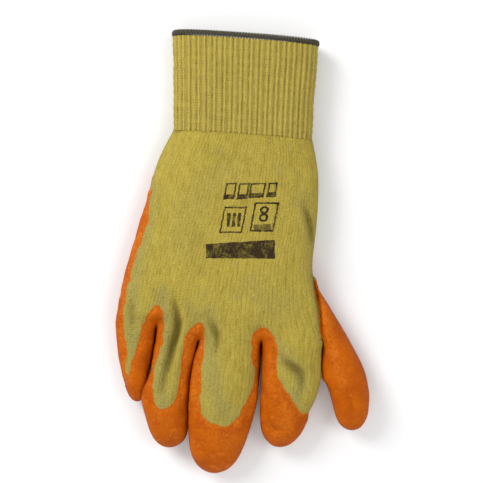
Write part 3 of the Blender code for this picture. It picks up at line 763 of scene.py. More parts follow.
def finger_numbers(points):
    """Which finger each point is on, from the little finger's 0 to the thumb's 4."""
    x, y = points[:, 0], points[:, 1]
    numbers = np.zeros(len(points), int)
    for k, (web_x, web_y) in enumerate(map(place, WEBS)):
        left, right = finger_sides(k, y), finger_sides(k + 1, y)
        border = (left[0] + left[1] + right[0] - right[1]) / 2
        numbers += x > blend(web_x, border, smooth_step((web_y - y) / WEB_RUN))
    thumb_web = hand_y(THUMB_WEB_ALONG) + THUMB_MARGIN
    numbers[(y < thumb_web) & (x > thumb_line() - THUMB_MARGIN)] = len(FINGERS)
    return numbers


def lean_tips(points, numbers):
    """Bends the thumb's end away from the index finger, and shifts the other fingertips."""
    x, y = points[:, 0] / MM, points[:, 1] / MM
    outer = past(x, *THUMB_SIDE_X) * past(y, *THUMB_SIDE_Y)
    lean_out = THUMB_LEAN * np.maximum(outer, past(y, *THUMB_END_Y))
    points[:, 0] += np.where(numbers == len(FINGERS), lean_out, 0)
    for k, lean in enumerate(LEANS):
        share = np.where(numbers == k, past(y, lean.start, lean.run), 0)
        points[:, :2] += share[:, None] * (lean.x * MM, lean.y * MM)
    bulge = RING_BULGE
    side = np.where(numbers == 1, np.clip((bulge.x - x) / bulge.reach, 0, 1), 0)
    level = np.exp(-((y - bulge.y) / bulge.length) ** 2) * (y < bulge.y + 2 * bulge.length)
    points[:, 0] -= bulge.out * MM * side ** 2 * level


def slit_edges(points, left, right, web_y):
    """X of the two sides that face each other over a slit, at the Y of each point."""
    y = points[:, 1]
    bins = np.floor((y - y.min()) / SLIT_BIN).astype(int)
    sides = np.full(bins.max() + 1, -1.0), np.full(bins.max() + 1, 1.0)
    np.maximum.at(sides[0], bins[left], points[left, 0])
    np.minimum.at(sides[1], bins[right], points[right, 0])
    at = y.min() + (np.arange(len(sides[0])) + 0.5) * SLIT_BIN
    known = (sides[0] > -1) & (sides[1] < 1) & (at < web_y - SLIT_CLEAR)
    edges = []
    for side in sides:
        padded = np.pad(side[known], len(SLIT_BLUR) // 2, "edge")
        edges.append(np.interp(y, at[known], np.convolve(padded, SLIT_BLUR, "valid")))
    return edges


def swell_level(points, web_y, end):
    """How much of the swell low in a slit each point takes, 0 to 1."""
    y, z = points[:, 1], points[:, 2]
    level = np.exp(-((z / MM - SLIT_SWELL.height) / SLIT_SWELL.half) ** 2)
    return level * past(y / MM, end, SLIT_SWELL.run) * past(y, web_y, -SLIT_SWELL.start * MM)


def close_slits(points, numbers):
    """Lays the fingers as close to each other as the slits say, by leaning their sides out."""
    x, y = points[:, 0], points[:, 1]
    centres = [finger_sides(k, y)[0] for k in range(len(FINGERS) + 1)]
    moved = x.copy()
    for k, slit in enumerate(SLITS):
        web_y = place(WEBS[k]).y if k < len(WEBS) else hand_y(THUMB_WEB_ALONG)
        left = (y < web_y) & (numbers == k) & (x > centres[k])
        right = (y < web_y) & (numbers == k + 1) & (x < centres[k + 1])
        edges = slit_edges(points, left, right, web_y)
        at = [-row.y * MM for row in slit]
        goal = np.interp(-y, at, [row.gap * MM for row in slit])
        lean = np.interp(-y, at, [row.lean * MM for row in slit])
        push = np.clip((edges[1] - edges[0] - goal - lean) / 2, 0, SLIT_REACH)
        push *= past(y / MM, slit[-1].y, SLIT_FADE)
        middle = (edges[0] + lean + edges[1]) / 2
        for side, step, centre, edge, sign in (
            (left, push + lean, centres[k], edges[0], 1), (right, -push, centres[k + 1], edges[1], -1)
        ):
            way = edge - centre
            share = (x - centre) / way
            room = np.maximum(1 + step / way - share, 0) * abs(way)
            step = np.where(share > 1, np.sign(step) * np.minimum(abs(step), room), step)
            share = np.clip(share, 0, 1)
            moved += np.where(side, step * share ** 2, 0)
            if k < len(WEBS):
                swell = np.clip((middle - moved) * sign - SLIT_SWELL.gap / 2 * MM, 0, SLIT_SWELL.reach * MM)
                swell *= swell_level(points, web_y, SLIT_SWELL.ends[k]) * past(share, *SWELL_SIDE)
                moved += np.where(side, sign * swell, 0)
    points[:, 0] = moved


def made_object(name, mesh):
    obj = bpy.data.objects.new(name, mesh)
    bpy.context.scene.collection.objects.link(obj)
    return obj


def smoothed(mesh, levels):
    """A new mesh: the cage after Catmull-Clark smoothing."""
    obj = made_object("smoothing", mesh)
    modifier = obj.modifiers.new("smooth", "SUBSURF")
    modifier.levels = levels
    bpy.context.view_layer.update()
    graph = bpy.context.evaluated_depsgraph_get()
    made = bpy.data.meshes.new_from_object(obj.evaluated_get(graph))
    bpy.data.objects.remove(obj)
    bpy.data.meshes.remove(mesh)
    return made


def refine(mesh, near):
    """Halves the faces that touch the chosen points."""
    bm = bmesh.new()
    bm.from_mesh(mesh)
    edges = {edge for face in bm.faces if any(near[v.index] for v in face.verts) for edge in face.edges}
    edges = sorted(edges, key=lambda edge: edge.index)
    bmesh.ops.subdivide_edges(bm, edges=edges, cuts=1, use_grid_fill=True)
    bm.to_mesh(mesh)
    bm.free()


def hand_skin():
    """The knit's outer skin, finer along the dip line and in the creases."""
    mesh = smoothed(hand_cage(), SKIN_LEVELS)
    trial = mesh.copy()
    shape_skin(trial)
    near_dip = np.abs(point_numbers(trial, "dip")) < FINE_DIP
    refine(mesh, near_dip | (point_numbers(trial, "crease") > FINE_CREASE))
    bpy.data.meshes.remove(trial)
    shape_skin(mesh)
    return mesh


def shape_skin(mesh):
    """Leans, creases and swells the smooth skin, and notes how far each point is from the dip line."""
    points, normals = mesh_arrays(mesh)
    numbers = finger_numbers(points)
    lean_tips(points, numbers)
    close_slits(points, numbers)
    window = outside_distance(points[:, :2], window_outline())
    floor = WINDOW_FLOOR * PALM_HEIGHT - points[:, 2]
    window = np.where(numbers == len(FINGERS), np.maximum(window, COAT_FULL), window)
    wrist = outside_distance(points[:, :2], palm_outline())
    dip = np.minimum(np.maximum(window, floor), wrist) + rough(points, DIP_WANDER) * MM

    facing = past(normals[:, 2], *BACK_FACING)
    depth = crease_depth(points) * facing
    points[:, 2] -= depth
    swell = rough(points, BACK_SWELL) * facing
    points += normals * (swell * MM)[:, None]
    points[:, 2] = np.maximum(points[:, 2], SKIN_FLOOR)
    set_points(mesh, points)
    add_number(mesh, "dip", dip / MM)
    # The creases' depth, less some of the swell: it drives painted shade in the creases, with less of it on
    # the swells
    add_number(mesh, "crease", depth / MM - SWELL_SHADE * swell)
    # The grey tints on the back: along the folds and sides they are painted shade
    add_number(mesh, "grey", tinted(points, TINTS) * facing)
    # Where highlights are painted on the latex
    add_number(mesh, "highlit", tinted(points, LATEX_HIGHLIGHTS) * facing)


def coated_skin(skin):
    """The latex on that skin: it thins out to nothing, just under the knit, at the dip line."""
    mesh = skin.copy()
    points, normals = mesh_arrays(mesh)
    dip = point_numbers(mesh, "dip") * MM
    share = past(dip, COAT_START, COAT_FULL - COAT_START)
    thickness = blend(COAT_SUNK, COAT_REACH, share)
    thickness += rough(points, LATEX_CRINKLE) * past(normals[:, 2], *SIDE_FACING) * share * MM
    points += normals * thickness[:, None]
    points[:, 2] = np.maximum(points[:, 2], 0)
    set_points(mesh, points)
    bm = bmesh.new()
    bm.from_mesh(mesh)
    bm.verts.ensure_lookup_table()
    bare = [face for face in bm.faces if all(dip[v.index] < 2 * COAT_START for v in face.verts)]
    bmesh.ops.delete(bm, geom=bare, context="FACES")
    bm.to_mesh(mesh)
    bm.free()
    return mesh


def cuff_rings():
    """Cage rings of the cuff, from the wrist to the hem."""
    wrist = PALM_ROWS[0]
    left, right = wrist.left * PALM_WIDTH, wrist.right * PALM_WIDTH
    middle = (left + right) / 2
    rings = []
    for along in CUFF_RINGS:
        half = blend((right - left) / 2, HEM_WIDTH / 2, along ** CUFF_FLARE)
        centre = blend(middle, HEM_SHIFT * middle, along)
        height = blend(wrist.height * PALM_HEIGHT, CUFF_HEIGHT, along)
        y = WRIST_REACH + along * (CUFF_LENGTH + 2 * FIT_GAP)
        rings.append(section_ring(centre - half, centre + half, height, y, 0.0))
    return rings


def hem_line():
    """Even points round the hem's middle, as arrays: places, and directions out of the cuff."""
    cage = Cage()
    ring = cuff_rings()[-1]
    further = [point + Vector((0, HEM_DEPTH, 0)) for point in ring]
    add_rings(cage, [cage.points(ring), cage.points(further)], around(ring))
    mesh = smoothed(cage.mesh("hem_cage"), CUFF_LEVELS)
    low = min(vertex.co.y for vertex in mesh.vertices)
    first = [vertex for vertex in mesh.vertices if vertex.co.y < low + HEM_FOUND]
    centre = sum((vertex.co for vertex in first), Vector()) / len(first)
    first.sort(key=lambda vertex: math.atan2(vertex.co.z - centre.z, vertex.co.x - centre.x))
    line = np.array([tuple(vertex.co) for vertex in first])
    bpy.data.meshes.remove(mesh)
    steps = np.linalg.norm(np.roll(line, -1, axis=0) - line, axis=1)
    reached = np.concatenate(([0], np.cumsum(steps)))
    line = np.vstack((line, line[:1]))
    at = np.arange(HEM_STEPS) / HEM_STEPS * reached[-1]
    places = np.stack([np.interp(at, reached, line[:, axis]) for axis in range(3)], axis=1)
    runs = np.roll(places, -1, axis=0) - np.roll(places, 1, axis=0)
    outward = np.stack((runs[:, 2], np.zeros(HEM_STEPS), -runs[:, 0]), axis=1)
    outward /= np.linalg.norm(outward, axis=1)[:, None]
    return places, outward


def hem_section(place, outward, angle, grown):
    """A place on the hem's cross section, grown outwards by the given length."""
    deep, thick = HEM_DEPTH / 2 - HEM_ROLL, HEM_THICKNESS / 2 - HEM_ROLL
    centre = place - outward * (HEM_THICKNESS * (0.5 - HEM_OVERHANG))
    out = math.cos(angle) * (thick + grown)
    along = math.sin(angle) * (deep + grown)
    return centre + outward * out + np.array((0, HEM_DEPTH / 2 + along, 0))


def rib_skin(sizes):
    """The cuff's outer skin, with its ribs pressed in."""
    cage = Cage()
    rings = cuff_rings()
    add_rings(cage, [cage.points(ring) for ring in rings], around(rings[0]))
    mesh = smoothed(cage.mesh("rib_cage"), CUFF_LEVELS)
    points, normals = mesh_arrays(mesh)
    corners = read_all(mesh.loops, "vertex_index", kind=np.int32)
    turns = np.zeros(len(points))
    turns[corners] = read_all(mesh.uv_layers["turn"].data, "uv", 2)[:, 0]
    below_wrist = points[:, 1] - WRIST_REACH
    along = below_wrist / CUFF_LENGTH
    start, end = np.clip(along * CUFF_ENDS, 0, 1), np.clip((1 - along) * CUFF_ENDS, 0, 1)
    wander = rough(points, RIB_WANDER) * start
    rib = 0.5 + 0.5 * np.cos(2 * np.pi * (sizes.ribs * turns + wander))
    elastic = 0.5 - 0.5 * np.cos(2 * np.pi * below_wrist / sizes.elastic)
    slack = rough(points, CUFF_SLACK) * start * end * MM
    depth = (1 - rib ** RIB_ROUND) * sizes.rib_depth + elastic * ELASTIC_DEPTH - slack
    points -= normals * depth[:, None]
    points[:, 2] = np.maximum(points[:, 2], SKIN_FLOOR - KNIT_THICKNESS / 2)
    set_points(mesh, points)
    add_number(mesh, "rib", rib)
    return mesh


def even_angles(count):
    return [2 * math.pi * k / count for k in range(count)]


def join_rings(bm, rings):
    """Faces from each ring of points to the next."""
    for low, high in zip(rings, rings[1:]):
        for j in range(len(low)):
            after = (j + 1) % len(low)
            bm.faces.new((low[j], low[after], high[after], high[j]))


def add_tube(bm, line, radius, sides):
    """A round thread along a closed line of places."""
    rings = []
    for k, place in enumerate(line):
        run = Vector(line[(k + 1) % len(line)] - line[k - 1]).normalized()
        across = (across - run * run.dot(across) if rings else run.orthogonal()).normalized()
        other = run.cross(across)
        spokes = [across * math.cos(a) + other * math.sin(a) for a in even_angles(sides)]
        rings.append([bm.verts.new(Vector(place) + spoke * radius) for spoke in spokes])
    first = rings[0]
    nearest = min(range(sides), key=lambda j: (first[j].co - rings[-1][0].co).length)
    join_rings(bm, rings + [first[nearest:] + first[:nearest]])


def add_roll(bm, ring):
    """The knit's rolled edge, under the thread."""
    sections = []
    for place, out in zip(*ring):
        section = [hem_section(place, out, angle, HEM_INNER) for angle in even_angles(HEM_SIDES)]
        sections.append([bm.verts.new(point) for point in section])
    join_rings(bm, sections + sections[:1])


def add_loops(bm, ring, count, radius):
    """One long thread in loops over the edge, each slanting to the next."""
    places, outward = ring
    turns = np.arange(count * LOOP_STEPS) / LOOP_STEPS
    steps = (turns + LOOP_SLANT * np.sin(4 * np.pi * turns)) / count * HEM_STEPS
    line = []
    for step, turn in zip(steps, turns):
        k = math.floor(step)
        share = step - k
        here, after = k % HEM_STEPS, (k + 1) % HEM_STEPS
        place = blend(places[here], places[after], share)
        out = blend(outward[here], outward[after], share)
        line.append(hem_section(place, out, 2 * math.pi * turn, HEM_ROLL - radius * LOOP_SINK))
    add_tube(bm, line, radius, THREAD_SIDES)


def hem_mesh(sizes):
    """The rolled edge with the thread over it."""
    ring = hem_line()
    bm = bmesh.new()
    add_roll(bm, ring)
    add_loops(bm, ring, sizes.loops, sizes.thread / 2)
    bmesh.ops.recalc_face_normals(bm, faces=bm.faces)
    mesh = bpy.data.meshes.new("hem")
    bm.to_mesh(mesh)
    bm.free()
    return mesh


def socket_maths(operation, swapped=False):
    """A method of Value that adds a Math node for the operation."""
    def method(self, other=None):
        values = {0: self} if other is None else {int(swapped): self, 1 - int(swapped): other}
        return self.shader.node("Math", {"operation": operation}, values)
    return method


class Value:
    """A shader socket used in arithmetic. Each expression adds its Math nodes."""

    def __init__(self, shader, socket):
        self.shader = shader
        self.socket = socket

    __add__ = __radd__ = socket_maths("ADD")
    __sub__ = socket_maths("SUBTRACT")
    __rsub__ = socket_maths("SUBTRACT", swapped=True)
    __mul__ = __rmul__ = socket_maths("MULTIPLY")
    __truediv__ = socket_maths("DIVIDE")
    __rtruediv__ = socket_maths("DIVIDE", swapped=True)
    __pow__ = socket_maths("POWER")
    __rpow__ = socket_maths("POWER", swapped=True)
    __abs__ = socket_maths("ABSOLUTE")
    __lt__ = socket_maths("LESS_THAN")
    __gt__ = socket_maths("GREATER_THAN")
    fraction = socket_maths("FRACT")
    at_least = socket_maths("MAXIMUM")

    def ramp(self, low, high):
        """Rises smoothly from 0 at low to 1 at high, and may also fall."""
        settings = {"interpolation_type": "SMOOTHSTEP"}
        rises = float(low < high)
        values = {"Value": self, "From Min": min(low, high), "From Max": max(low, high)}
        values |= {"To Min": 1 - rises, "To Max": rises}
        return self.shader.node("MapRange", settings, values)


class Shader:
    """A material under construction."""

    def __init__(self, name):
        self.material = bpy.data.materials.new(name)
        self.material.use_nodes = True
        self.tree = self.material.node_tree
        self.surface = self.tree.nodes["Principled BSDF"]

    def feed(self, socket, value):
        if isinstance(value, Value):
            self.tree.links.new(value.socket, socket)
        else:
            socket.default_value = value

    def node(self, kind, settings=None, inputs=None, output=0):
        """Adds a node: its settings first, then the values or links of its sockets."""
        made = self.tree.nodes.new("ShaderNode" + kind)
        for name, value in (settings or {}).items():
            setattr(made, name, value)
        for name, value in (inputs or {}).items():
            self.feed(made.inputs[name], value)
        return Value(self, made.outputs[output])

    def paint(self, colour, *coats):
        """The colour under coats of paint, each one a share and its own colour."""
        for share, coat in coats:
            colour = self.node("Mix", {"data_type": "RGBA"}, {0: share, 6: colour, 7: coat}, output=2)
        return colour

    def noise(self, size, detail, places=None, roughness=0.5):
        """Noise with grains of about the given size, in metres, from 0 to 1."""
        inputs = {"Scale": 1 / size, "Detail": detail, "Roughness": roughness}
        return self.node("TexNoise", {}, {"Vector": places or self.places(), **inputs})

    def places(self):
        return self.node("TexCoord", output="Object")

    def xyz(self, vector):
        return [self.node("SeparateXYZ", {}, {0: vector}, output=k) for k in range(3)]

    def number(self, name):
        return self.node("Attribute", {"attribute_name": name}, output="Fac")

    def edge(self):
        """0 where the surface faces up or down, 1 where it faces sideways."""
        up = self.xyz(self.node("TexCoord", output="Normal"))[2]
        return abs(up).ramp(0.85, 0.05)

    def stitches(self, wale, course):
        """Height of the knit, 0 to 1: ropes of yarn in slanting pairs, with a groove between wales."""
        u, v, _ = self.xyz(self.node("UVMap", {"uv_map": "knit"}, output="UV"))
        wobble = self.noise(7 * MM, 3.0)
        u = u / wale + (wobble - 0.5) * 1.1
        v = v / course + (wobble - 0.5) * 0.8
        across = abs(u.fraction() - 0.5) * 2
        fade = self.noise(3.5 * MM, 3.0).ramp(0.30, 0.70)
        groove = across.ramp(0.45, 1.0) * (0.35 + 0.65 * fade)
        slant = (v + across * 0.55).fraction()
        rope = 1 - abs(slant - 0.5) * 2
        split = across.ramp(0.30, 0.0)
        return (1 - groove) * (0.55 + rope.ramp(0.0, 0.9) * 0.45) - split * 0.12

    def bump(self, height, depth):
        """A normal from a height of 0 to 1 that stands for a depth in metres."""
        return self.node("Bump", {}, {"Height": height, "Distance": depth, "Strength": 1.0})

    def finish(self, **sockets):
        for name, value in sockets.items():
            self.feed(self.surface.inputs[name.replace("_", " ")], value)
        return self.material


def ink_marks(shader):
    """Where the stamp on the back has ink, 0 to 1."""
    ragged = (shader.noise(RAGGED_SIZE, 3.0) - 0.5) * RAGGED_REACH
    x, y, z = shader.xyz(shader.places())
    outwards = shader.xyz(shader.node("TexCoord", output="Normal"))[2] > 0.0
    on_back = outwards * (z > INK_FLOOR)
    x, y = x + ragged, y + ragged * 0.7

    def local(mark):
        """Places in a mark's own directions, from its middle."""
        turn = math.radians(mark.turn)
        dx, dy = x - mark.x * MM, y - mark.y * MM
        across = dx * math.cos(turn) + dy * math.sin(turn)
        up = dy * math.cos(turn) - dx * math.sin(turn)
        return across - up * mark.slant, up

    def panel(across, up, width, height):
        return (abs(across) / (width / 2 * MM)).at_least(abs(up) / (height / 2 * MM)) < 1.0

    def oval(across, up, width, height):
        return (across / (width / 2 * MM)) ** 2 + (up / (height / 2 * MM)) ** 2 < 1.0

    across, up = local(BAR)
    marks = panel(across, up / (across * BAR_SPREAD + 1), BAR.width, BAR.height)
    for mark in FRAMES + BLOCKS:
        across, up = local(mark)
        sides, ends, rise = FRAME_LINES if mark in FRAMES else BLOCK_LINES
        outer = panel(across, up, mark.width, mark.height)
        inner = panel(across, up - rise * MM, mark.width - sides, mark.height - ends)
        marks = marks.at_least(outer - inner)
    across, up = local(NUMBER)
    for centre, width, height in NUMBER_RINGS:
        ring = oval(across, up - centre * MM, width, height)
        hole = oval(across, up - centre * MM, width - NUMBER_LINE[0], height - NUMBER_LINE[1])
        marks = marks.at_least(ring - hole)
    across, up = local(STROKE)
    for k in (-1, 0, 1):
        marks = marks.at_least(panel(across - k * STROKE_STEP, up, STROKE.width, STROKE.height))
    across, up = local(PATCH)
    marks = marks.at_least(panel(across, up, PATCH.width, PATCH.height) * PATCH_INK)
    return marks * on_back


def knit_material(sizes, colours):
    """Yellow polycotton knit, stained by latex at the dip line and stamped on its back, with painted shade
    between its stitches, in its folds and on its sides.
    """
    shader = Shader("yellow_knit")
    height = shader.stitches(sizes.wale, sizes.course)
    yarn = shader.noise(0.8 * MM, 4.0, roughness=0.65)
    patch = shader.noise(7 * MM, 4.0, roughness=0.6)
    worn = shader.noise(2.6 * MM, 3.0)
    stretch = {0: shader.places(), 1: (1.0, STREAK_STRETCH, 1.0)}
    stretched = shader.node("VectorMath", {"operation": "MULTIPLY"}, stretch)
    streak = shader.noise(2.2 * MM, 2.0, places=stretched)
    # Painted shade in the grooves between the stitches and painted light on their tops, from the stitches'
    # height, mixed with the yarn's own random tone
    shade = (height * 0.30 + yarn * 0.60 + worn * 0.45 + patch * 0.35 + streak * 0.7).ramp(0.50, 1.66)
    grey = shader.number("grey") * (0.45 + 0.9 * worn)
    # Greyer knit: random patches of its grey core, and the tints, which along the folds and sides are
    # painted shade
    cold = (patch.ramp(0.52, 0.72) * 0.35).at_least(grey * 0.85)
    speck = shader.noise(1.0 * MM, 2.0).ramp(0.57, 0.69) * (0.20 + 0.5 * grey)
    fleck = shader.noise(0.8 * MM, 1.0, places=stretched).ramp(0.62, 0.76)
    broken = (height * 0.45 + yarn * 0.9).ramp(0.25, 0.62)
    worn_ink = shader.noise(3.4 * MM, 4.0, roughness=0.7).ramp(0.76, 0.44) * 0.42 + 0.58
    dip = shader.number("dip") + (shader.noise(1.1 * MM, 4.0) - 0.5) * 1.8
    colour = shader.paint(
        colours.knit_shade,
        (shade, colours.knit),
        (cold, colours.knit_grey_and_shade),
        (speck, colours.knit_shade_and_speck),
        # Painted shade down in the creases, with less of it on the swells
        (shader.number("crease").ramp(0.2, 3.2) * 0.75, colours.knit_shade_and_speck),
        (fleck * 0.26, colours.knit_fleck),
        # Painted shade on the sides, where the surface faces sideways
        (shader.edge() * 0.35, colours.knit_shade_and_speck),
        (ink_marks(shader) * broken * worn_ink, colours.ink),
        (dip.ramp(-4.5, -1.0) * 0.35, colours.knit_grey_and_shade),
        (dip.ramp(-0.8, 0.3), colours.latex),
    )
    normal = shader.bump(height * 0.8 + yarn * 0.7 + worn * 0.6, 0.42 * MM)
    return shader.finish(Base_Color=colour, Roughness=0.9, Normal=normal, Specular_IOR_Level=0.2)


def latex_material(colours):
    """Orange latex with a fine crinkle, paler where it is thin, with painted highlights and painted shade in
    its crinkle, its creases and on its sides.
    """
    shader = Shader("orange_latex")
    crinkle = shader.noise(1.5 * MM, 4.0, roughness=0.6)
    grain = shader.noise(0.6 * MM, 2.0)
    patch = shader.noise(9 * MM, 3.0)
    # Painted highlights: soft blotches of noise, and the listed streaks
    painted_highlight = shader.noise(6 * MM, 2.0).ramp(0.54, 0.74).at_least(shader.number("highlit"))
    thin = shader.number("dip").ramp(3.0, 0.0)
    colour = shader.paint(
        colours.latex_shade,
        # Painted shade in the crinkle's hollows, mixed with patchy darker tone
        ((crinkle * 0.5 + patch * 0.8).ramp(0.38, 0.92), colours.latex),
        (painted_highlight * crinkle.ramp(0.26, 0.66) * 0.42, colours.latex_pale_and_highlight),
        # Painted shade on the sides, where the surface faces sideways
        (shader.edge() * 0.5, colours.latex_crease_shade),
        (thin * crinkle.ramp(0.35, 0.7) * 0.6, colours.latex_pale_and_highlight),
        # Painted shade down in the creases, with less of it on the swells
        (shader.number("crease").ramp(0.2, 2.6) * 0.75, colours.latex_crease_shade),
    )
    roughness = 0.50 + (crinkle - 0.5) * 0.3
    normal = shader.bump(crinkle + grain * 0.3, 0.55 * MM)
    return shader.finish(Base_Color=colour, Roughness=roughness, Normal=normal, Specular_IOR_Level=0.08)


def rib_material(sizes, colours):
    """The cuff's elastic rib, with painted shade between its ribs and stitches."""
    shader = Shader("rib_knit")
    height = shader.stitches(sizes.wale * 0.9, sizes.course)
    yarn = shader.noise(0.7 * MM, 3.0)
    patch = shader.noise(9 * MM, 3.0)
    # Painted shade between the ribs and stitches, from their height, mixed with random tone
    shade = (height * 0.35 + yarn * 0.3 + patch * 0.3 + shader.number("rib") * 0.35).ramp(0.2, 1.0)
    colour = shader.paint(colours.knit_shade, (shade, colours.knit))
    normal = shader.bump(height + yarn * 0.35, 0.5 * MM)
    return shader.finish(Base_Color=colour, Roughness=0.88, Normal=normal)


def thread_material(colours):
    """Twisted overlock thread."""
    shader = Shader("hem_thread")
    fibre = shader.noise(0.35 * MM, 2.0)
    colour = shader.paint(colours.thread, (fibre, colours.thread_fluff))
    return shader.finish(Base_Color=colour, Roughness=0.8, Normal=shader.bump(fibre, 0.15 * MM))


def dress(obj, material, slot, *nodes):
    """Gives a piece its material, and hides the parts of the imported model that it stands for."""
    obj.data.materials.clear()
    obj.data.materials.append(material)
    obj.data.shade_smooth()
    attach(obj, "root")
    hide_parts(*nodes)


def add_wall(obj, thickness):
    modifier = obj.modifiers.new("wall", "SOLIDIFY")
    modifier.thickness = thickness
    modifier.offset = -1


def length_property(name, description, default):
    return FloatProperty(name=name, description=description, default=default, unit="LENGTH")


def colour_property(name, description, default):
    settings = {"size": 4, "subtype": "COLOR", "max": 1}
    return FloatVectorProperty(name=name, description=description, default=default, **settings)


class GloveSizes(bpy.types.PropertyGroup):
    """Sizes of the glove's finish."""

    wale: length_property("Wale", "Width of a column of stitches", 1.9 * MM)
    course: length_property("Course", "Height of a row of stitches", 1.4 * MM)
    ribs: IntProperty(name="Ribs", description="Ribs round the cuff", default=60, min=8)
    rib_depth: length_property("Rib depth", "Height of a rib over its hollow", 0.7 * MM)
    elastic: length_property("Elastic", "From one elastic course of the cuff to the next", 4.2 * MM)
    floor: length_property("Floor", "Side of the floor", 6.0)
    loops: IntProperty(name="Loops", description="Overlock loops round the hem", default=112, min=12)
    thread: length_property("Thread", "Thickness of the overlock thread", 1.0 * MM)
    frame_width: length_property("Frame width", "What the camera sees across the glove", 0.2598)


class GloveColours(bpy.types.PropertyGroup):
    """Colours of the glove's yarns, latex and ink, and of the floor."""

    knit: colour_property("Knit", "Yarn in the light", srgb(180, 161, 68))
    # The colour of the painted shade between the stitches, and of the yarn's darker tone
    knit_shade: colour_property("Knit shade", "Between the stitches", srgb(136, 115, 38))
    # Greyer knit: its grey core, and painted shade along the folds and sides
    knit_grey_and_shade: colour_property("Stretched knit", "Knit that shows its grey core", srgb(150, 140, 76))
    # The colour of painted shade in the folds and on the sides, and of dark specks in the yarn
    knit_shade_and_speck: colour_property("Creased knit", "Down in the folds", srgb(104, 88, 28))
    knit_fleck: colour_property("Flecks", "Pale fibres that stand out", srgb(214, 200, 110))
    latex: colour_property("Latex", "Dipped latex", srgb(189, 93, 0))
    # The darker latex: painted shade in the crinkle's hollows, and patchy darker tone
    latex_shade: colour_property("Latex shade", "Thicker latex", srgb(167, 73, 0))
    # The colour of painted shade in the latex's creases and on its sides
    latex_crease_shade: colour_property("Creased latex", "Latex in its creases", srgb(132, 42, 2))
    # Paler latex where it is thin, and the colour of painted highlights
    latex_pale_and_highlight: colour_property("Pale latex", "Latex where it is thin or chalky", srgb(220, 126, 32))
    ink: colour_property("Ink", "Stamp on the back", srgb(50, 38, 18))
    thread: colour_property("Thread", "Overlock thread", srgb(40, 37, 32))
    thread_fluff: colour_property("Thread's fluff", "Paler fibres of the thread", srgb(92, 84, 66))
    floor: colour_property("Floor", "Floor under the glove", srgb(243, 243, 243))


class GLOVE_OT_liner(bpy.types.Operator):
    """Knit the hand: palm, fingers and thumb"""

    bl_idname = "glove.liner"
    bl_label = "Knitted hand"

    def execute(self, context):
        scene = context.scene
        obj = made_object("knitted_hand", hand_skin())
        add_wall(obj, KNIT_THICKNESS)
        dress(obj, knit_material(scene.glove_sizes, scene.glove_colours), "yellow_knit", "hand_liner")
        return {"FINISHED"}


class GLOVE_OT_coating(bpy.types.Operator):
    """Dip the palm, the thumb and the fingertips in latex"""

    bl_idname = "glove.coating"
    bl_label = "Latex coating"

    def execute(self, context):
        skin = bpy.data.objects["knitted_hand"].data
        obj = made_object("dipped_latex", coated_skin(skin))
        dress(obj, latex_material(context.scene.glove_colours), "orange_latex", "latex_coating")
        return {"FINISHED"}


class GLOVE_OT_cuff(bpy.types.Operator):
    """Knit the elastic cuff"""

    bl_idname = "glove.cuff"
    bl_label = "Rib cuff"

    def execute(self, context):
        sizes = context.scene.glove_sizes
        obj = made_object("elastic_cuff", rib_skin(sizes))
        add_wall(obj, KNIT_THICKNESS)
        dress(obj, rib_material(sizes, context.scene.glove_colours), "rib_knit", "rib_cuff")
        return {"FINISHED"}


class GLOVE_OT_hem(bpy.types.Operator):
    """Overlock the cuff's end: slanted loops of thread over a rolled edge"""

    bl_idname = "glove.hem"
    bl_label = "Overlocked hem"

    def execute(self, context):
        obj = made_object("overlock_stitching", hem_mesh(context.scene.glove_sizes))
        dress(obj, thread_material(context.scene.glove_colours), "hem_thread", "overlock_hem")
        return {"FINISHED"}


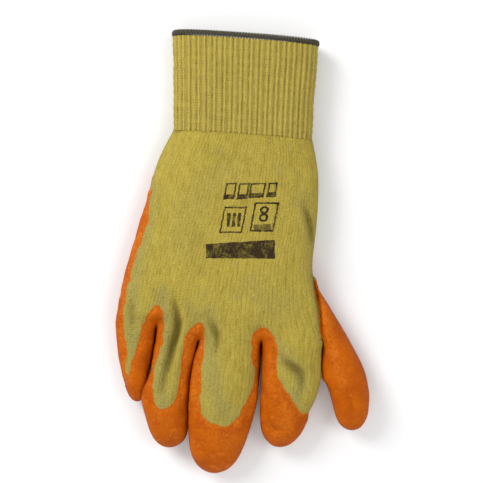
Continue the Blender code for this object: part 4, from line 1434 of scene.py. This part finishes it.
class GLOVE_OT_stage(bpy.types.Operator):
    """Lay the floor, hang the lights and set the camera"""

    bl_idname = "glove.stage"
    bl_label = "Stage"

    def execute(self, context):
        scene = context.scene
        sizes, colours = scene.glove_sizes, scene.glove_colours
        mesh = bpy.data.meshes.new("floor")
        reach = sizes.floor / 2
        corners = [(x * reach, y * reach, -FLOOR_DROP) for x, y in ((-1, -1), (1, -1), (1, 1), (-1, 1))]
        mesh.from_pydata(corners, [], [(0, 1, 2, 3)])
        floor = made_object("floor", mesh)
        mesh.materials.append(Shader("floor").finish(Base_Color=colours.floor, Roughness=0.9))

        for name, where, size, power in LAMPS:
            lamp = bpy.data.lights.new(name, "AREA")
            lamp.size = size
            lamp.energy = power
            light = made_object(name, lamp)
            light.location = where
            light.rotation_euler = (-Vector(where)).to_track_quat("-Z", "Y").to_euler()
        world = scene.world or bpy.data.worlds.new("studio")
        scene.world = world
        world.use_nodes = True
        sky = world.node_tree.nodes["Background"]
        sky.inputs["Color"].default_value = (1, 1, 1, 1)
        sky.inputs["Strength"].default_value = SKY_STRENGTH

        camera = bpy.data.cameras.new("camera")
        camera.lens, camera.sensor_width = LENS, FILM_WIDTH
        camera.clip_start = 10 * MM
        view = made_object("camera", camera)
        view.location = Vector(LOOKED_AT) + Vector((0, 0, sizes.frame_width * LENS / FILM_WIDTH))
        view.rotation_euler = (0, 0, math.radians(CAMERA_ROLL))
        scene.camera = view
        scene.view_settings.view_transform = "Standard"
        return {"FINISHED"}


class GLOVE_PT_panel(bpy.types.Panel):
    """The glove's pieces and settings"""

    bl_idname = "GLOVE_PT_panel"
    bl_label = "Dipped work glove"
    bl_space_type = "VIEW_3D"
    bl_region_type = "UI"
    bl_category = "Glove"

    def draw(self, context):
        for group in (context.scene.glove_sizes, context.scene.glove_colours):
            box = self.layout.box()
            for name in group.bl_rna.properties.keys():
                if name not in ("rna_type", "name"):
                    box.prop(group, name)
        for operator in OPERATORS:
            self.layout.operator(operator.bl_idname)


OPERATORS = (GLOVE_OT_liner, GLOVE_OT_coating, GLOVE_OT_cuff, GLOVE_OT_hem, GLOVE_OT_stage)
CLASSES = (GloveSizes, GloveColours, *OPERATORS, GLOVE_PT_panel)


def register():
    for made in CLASSES:
        bpy.utils.register_class(made)
    bpy.types.Scene.glove_sizes = PointerProperty(type=GloveSizes)
    bpy.types.Scene.glove_colours = PointerProperty(type=GloveColours)


def unregister():
    del bpy.types.Scene.glove_colours
    del bpy.types.Scene.glove_sizes
    for made in reversed(CLASSES):
        bpy.utils.unregister_class(made)


def main():
    register()
    bpy.ops.glove.liner()
    bpy.ops.glove.coating()
    bpy.ops.glove.cuff()
    bpy.ops.glove.hem()
    bpy.ops.glove.stage()


if __name__ == "__main__":
    main()
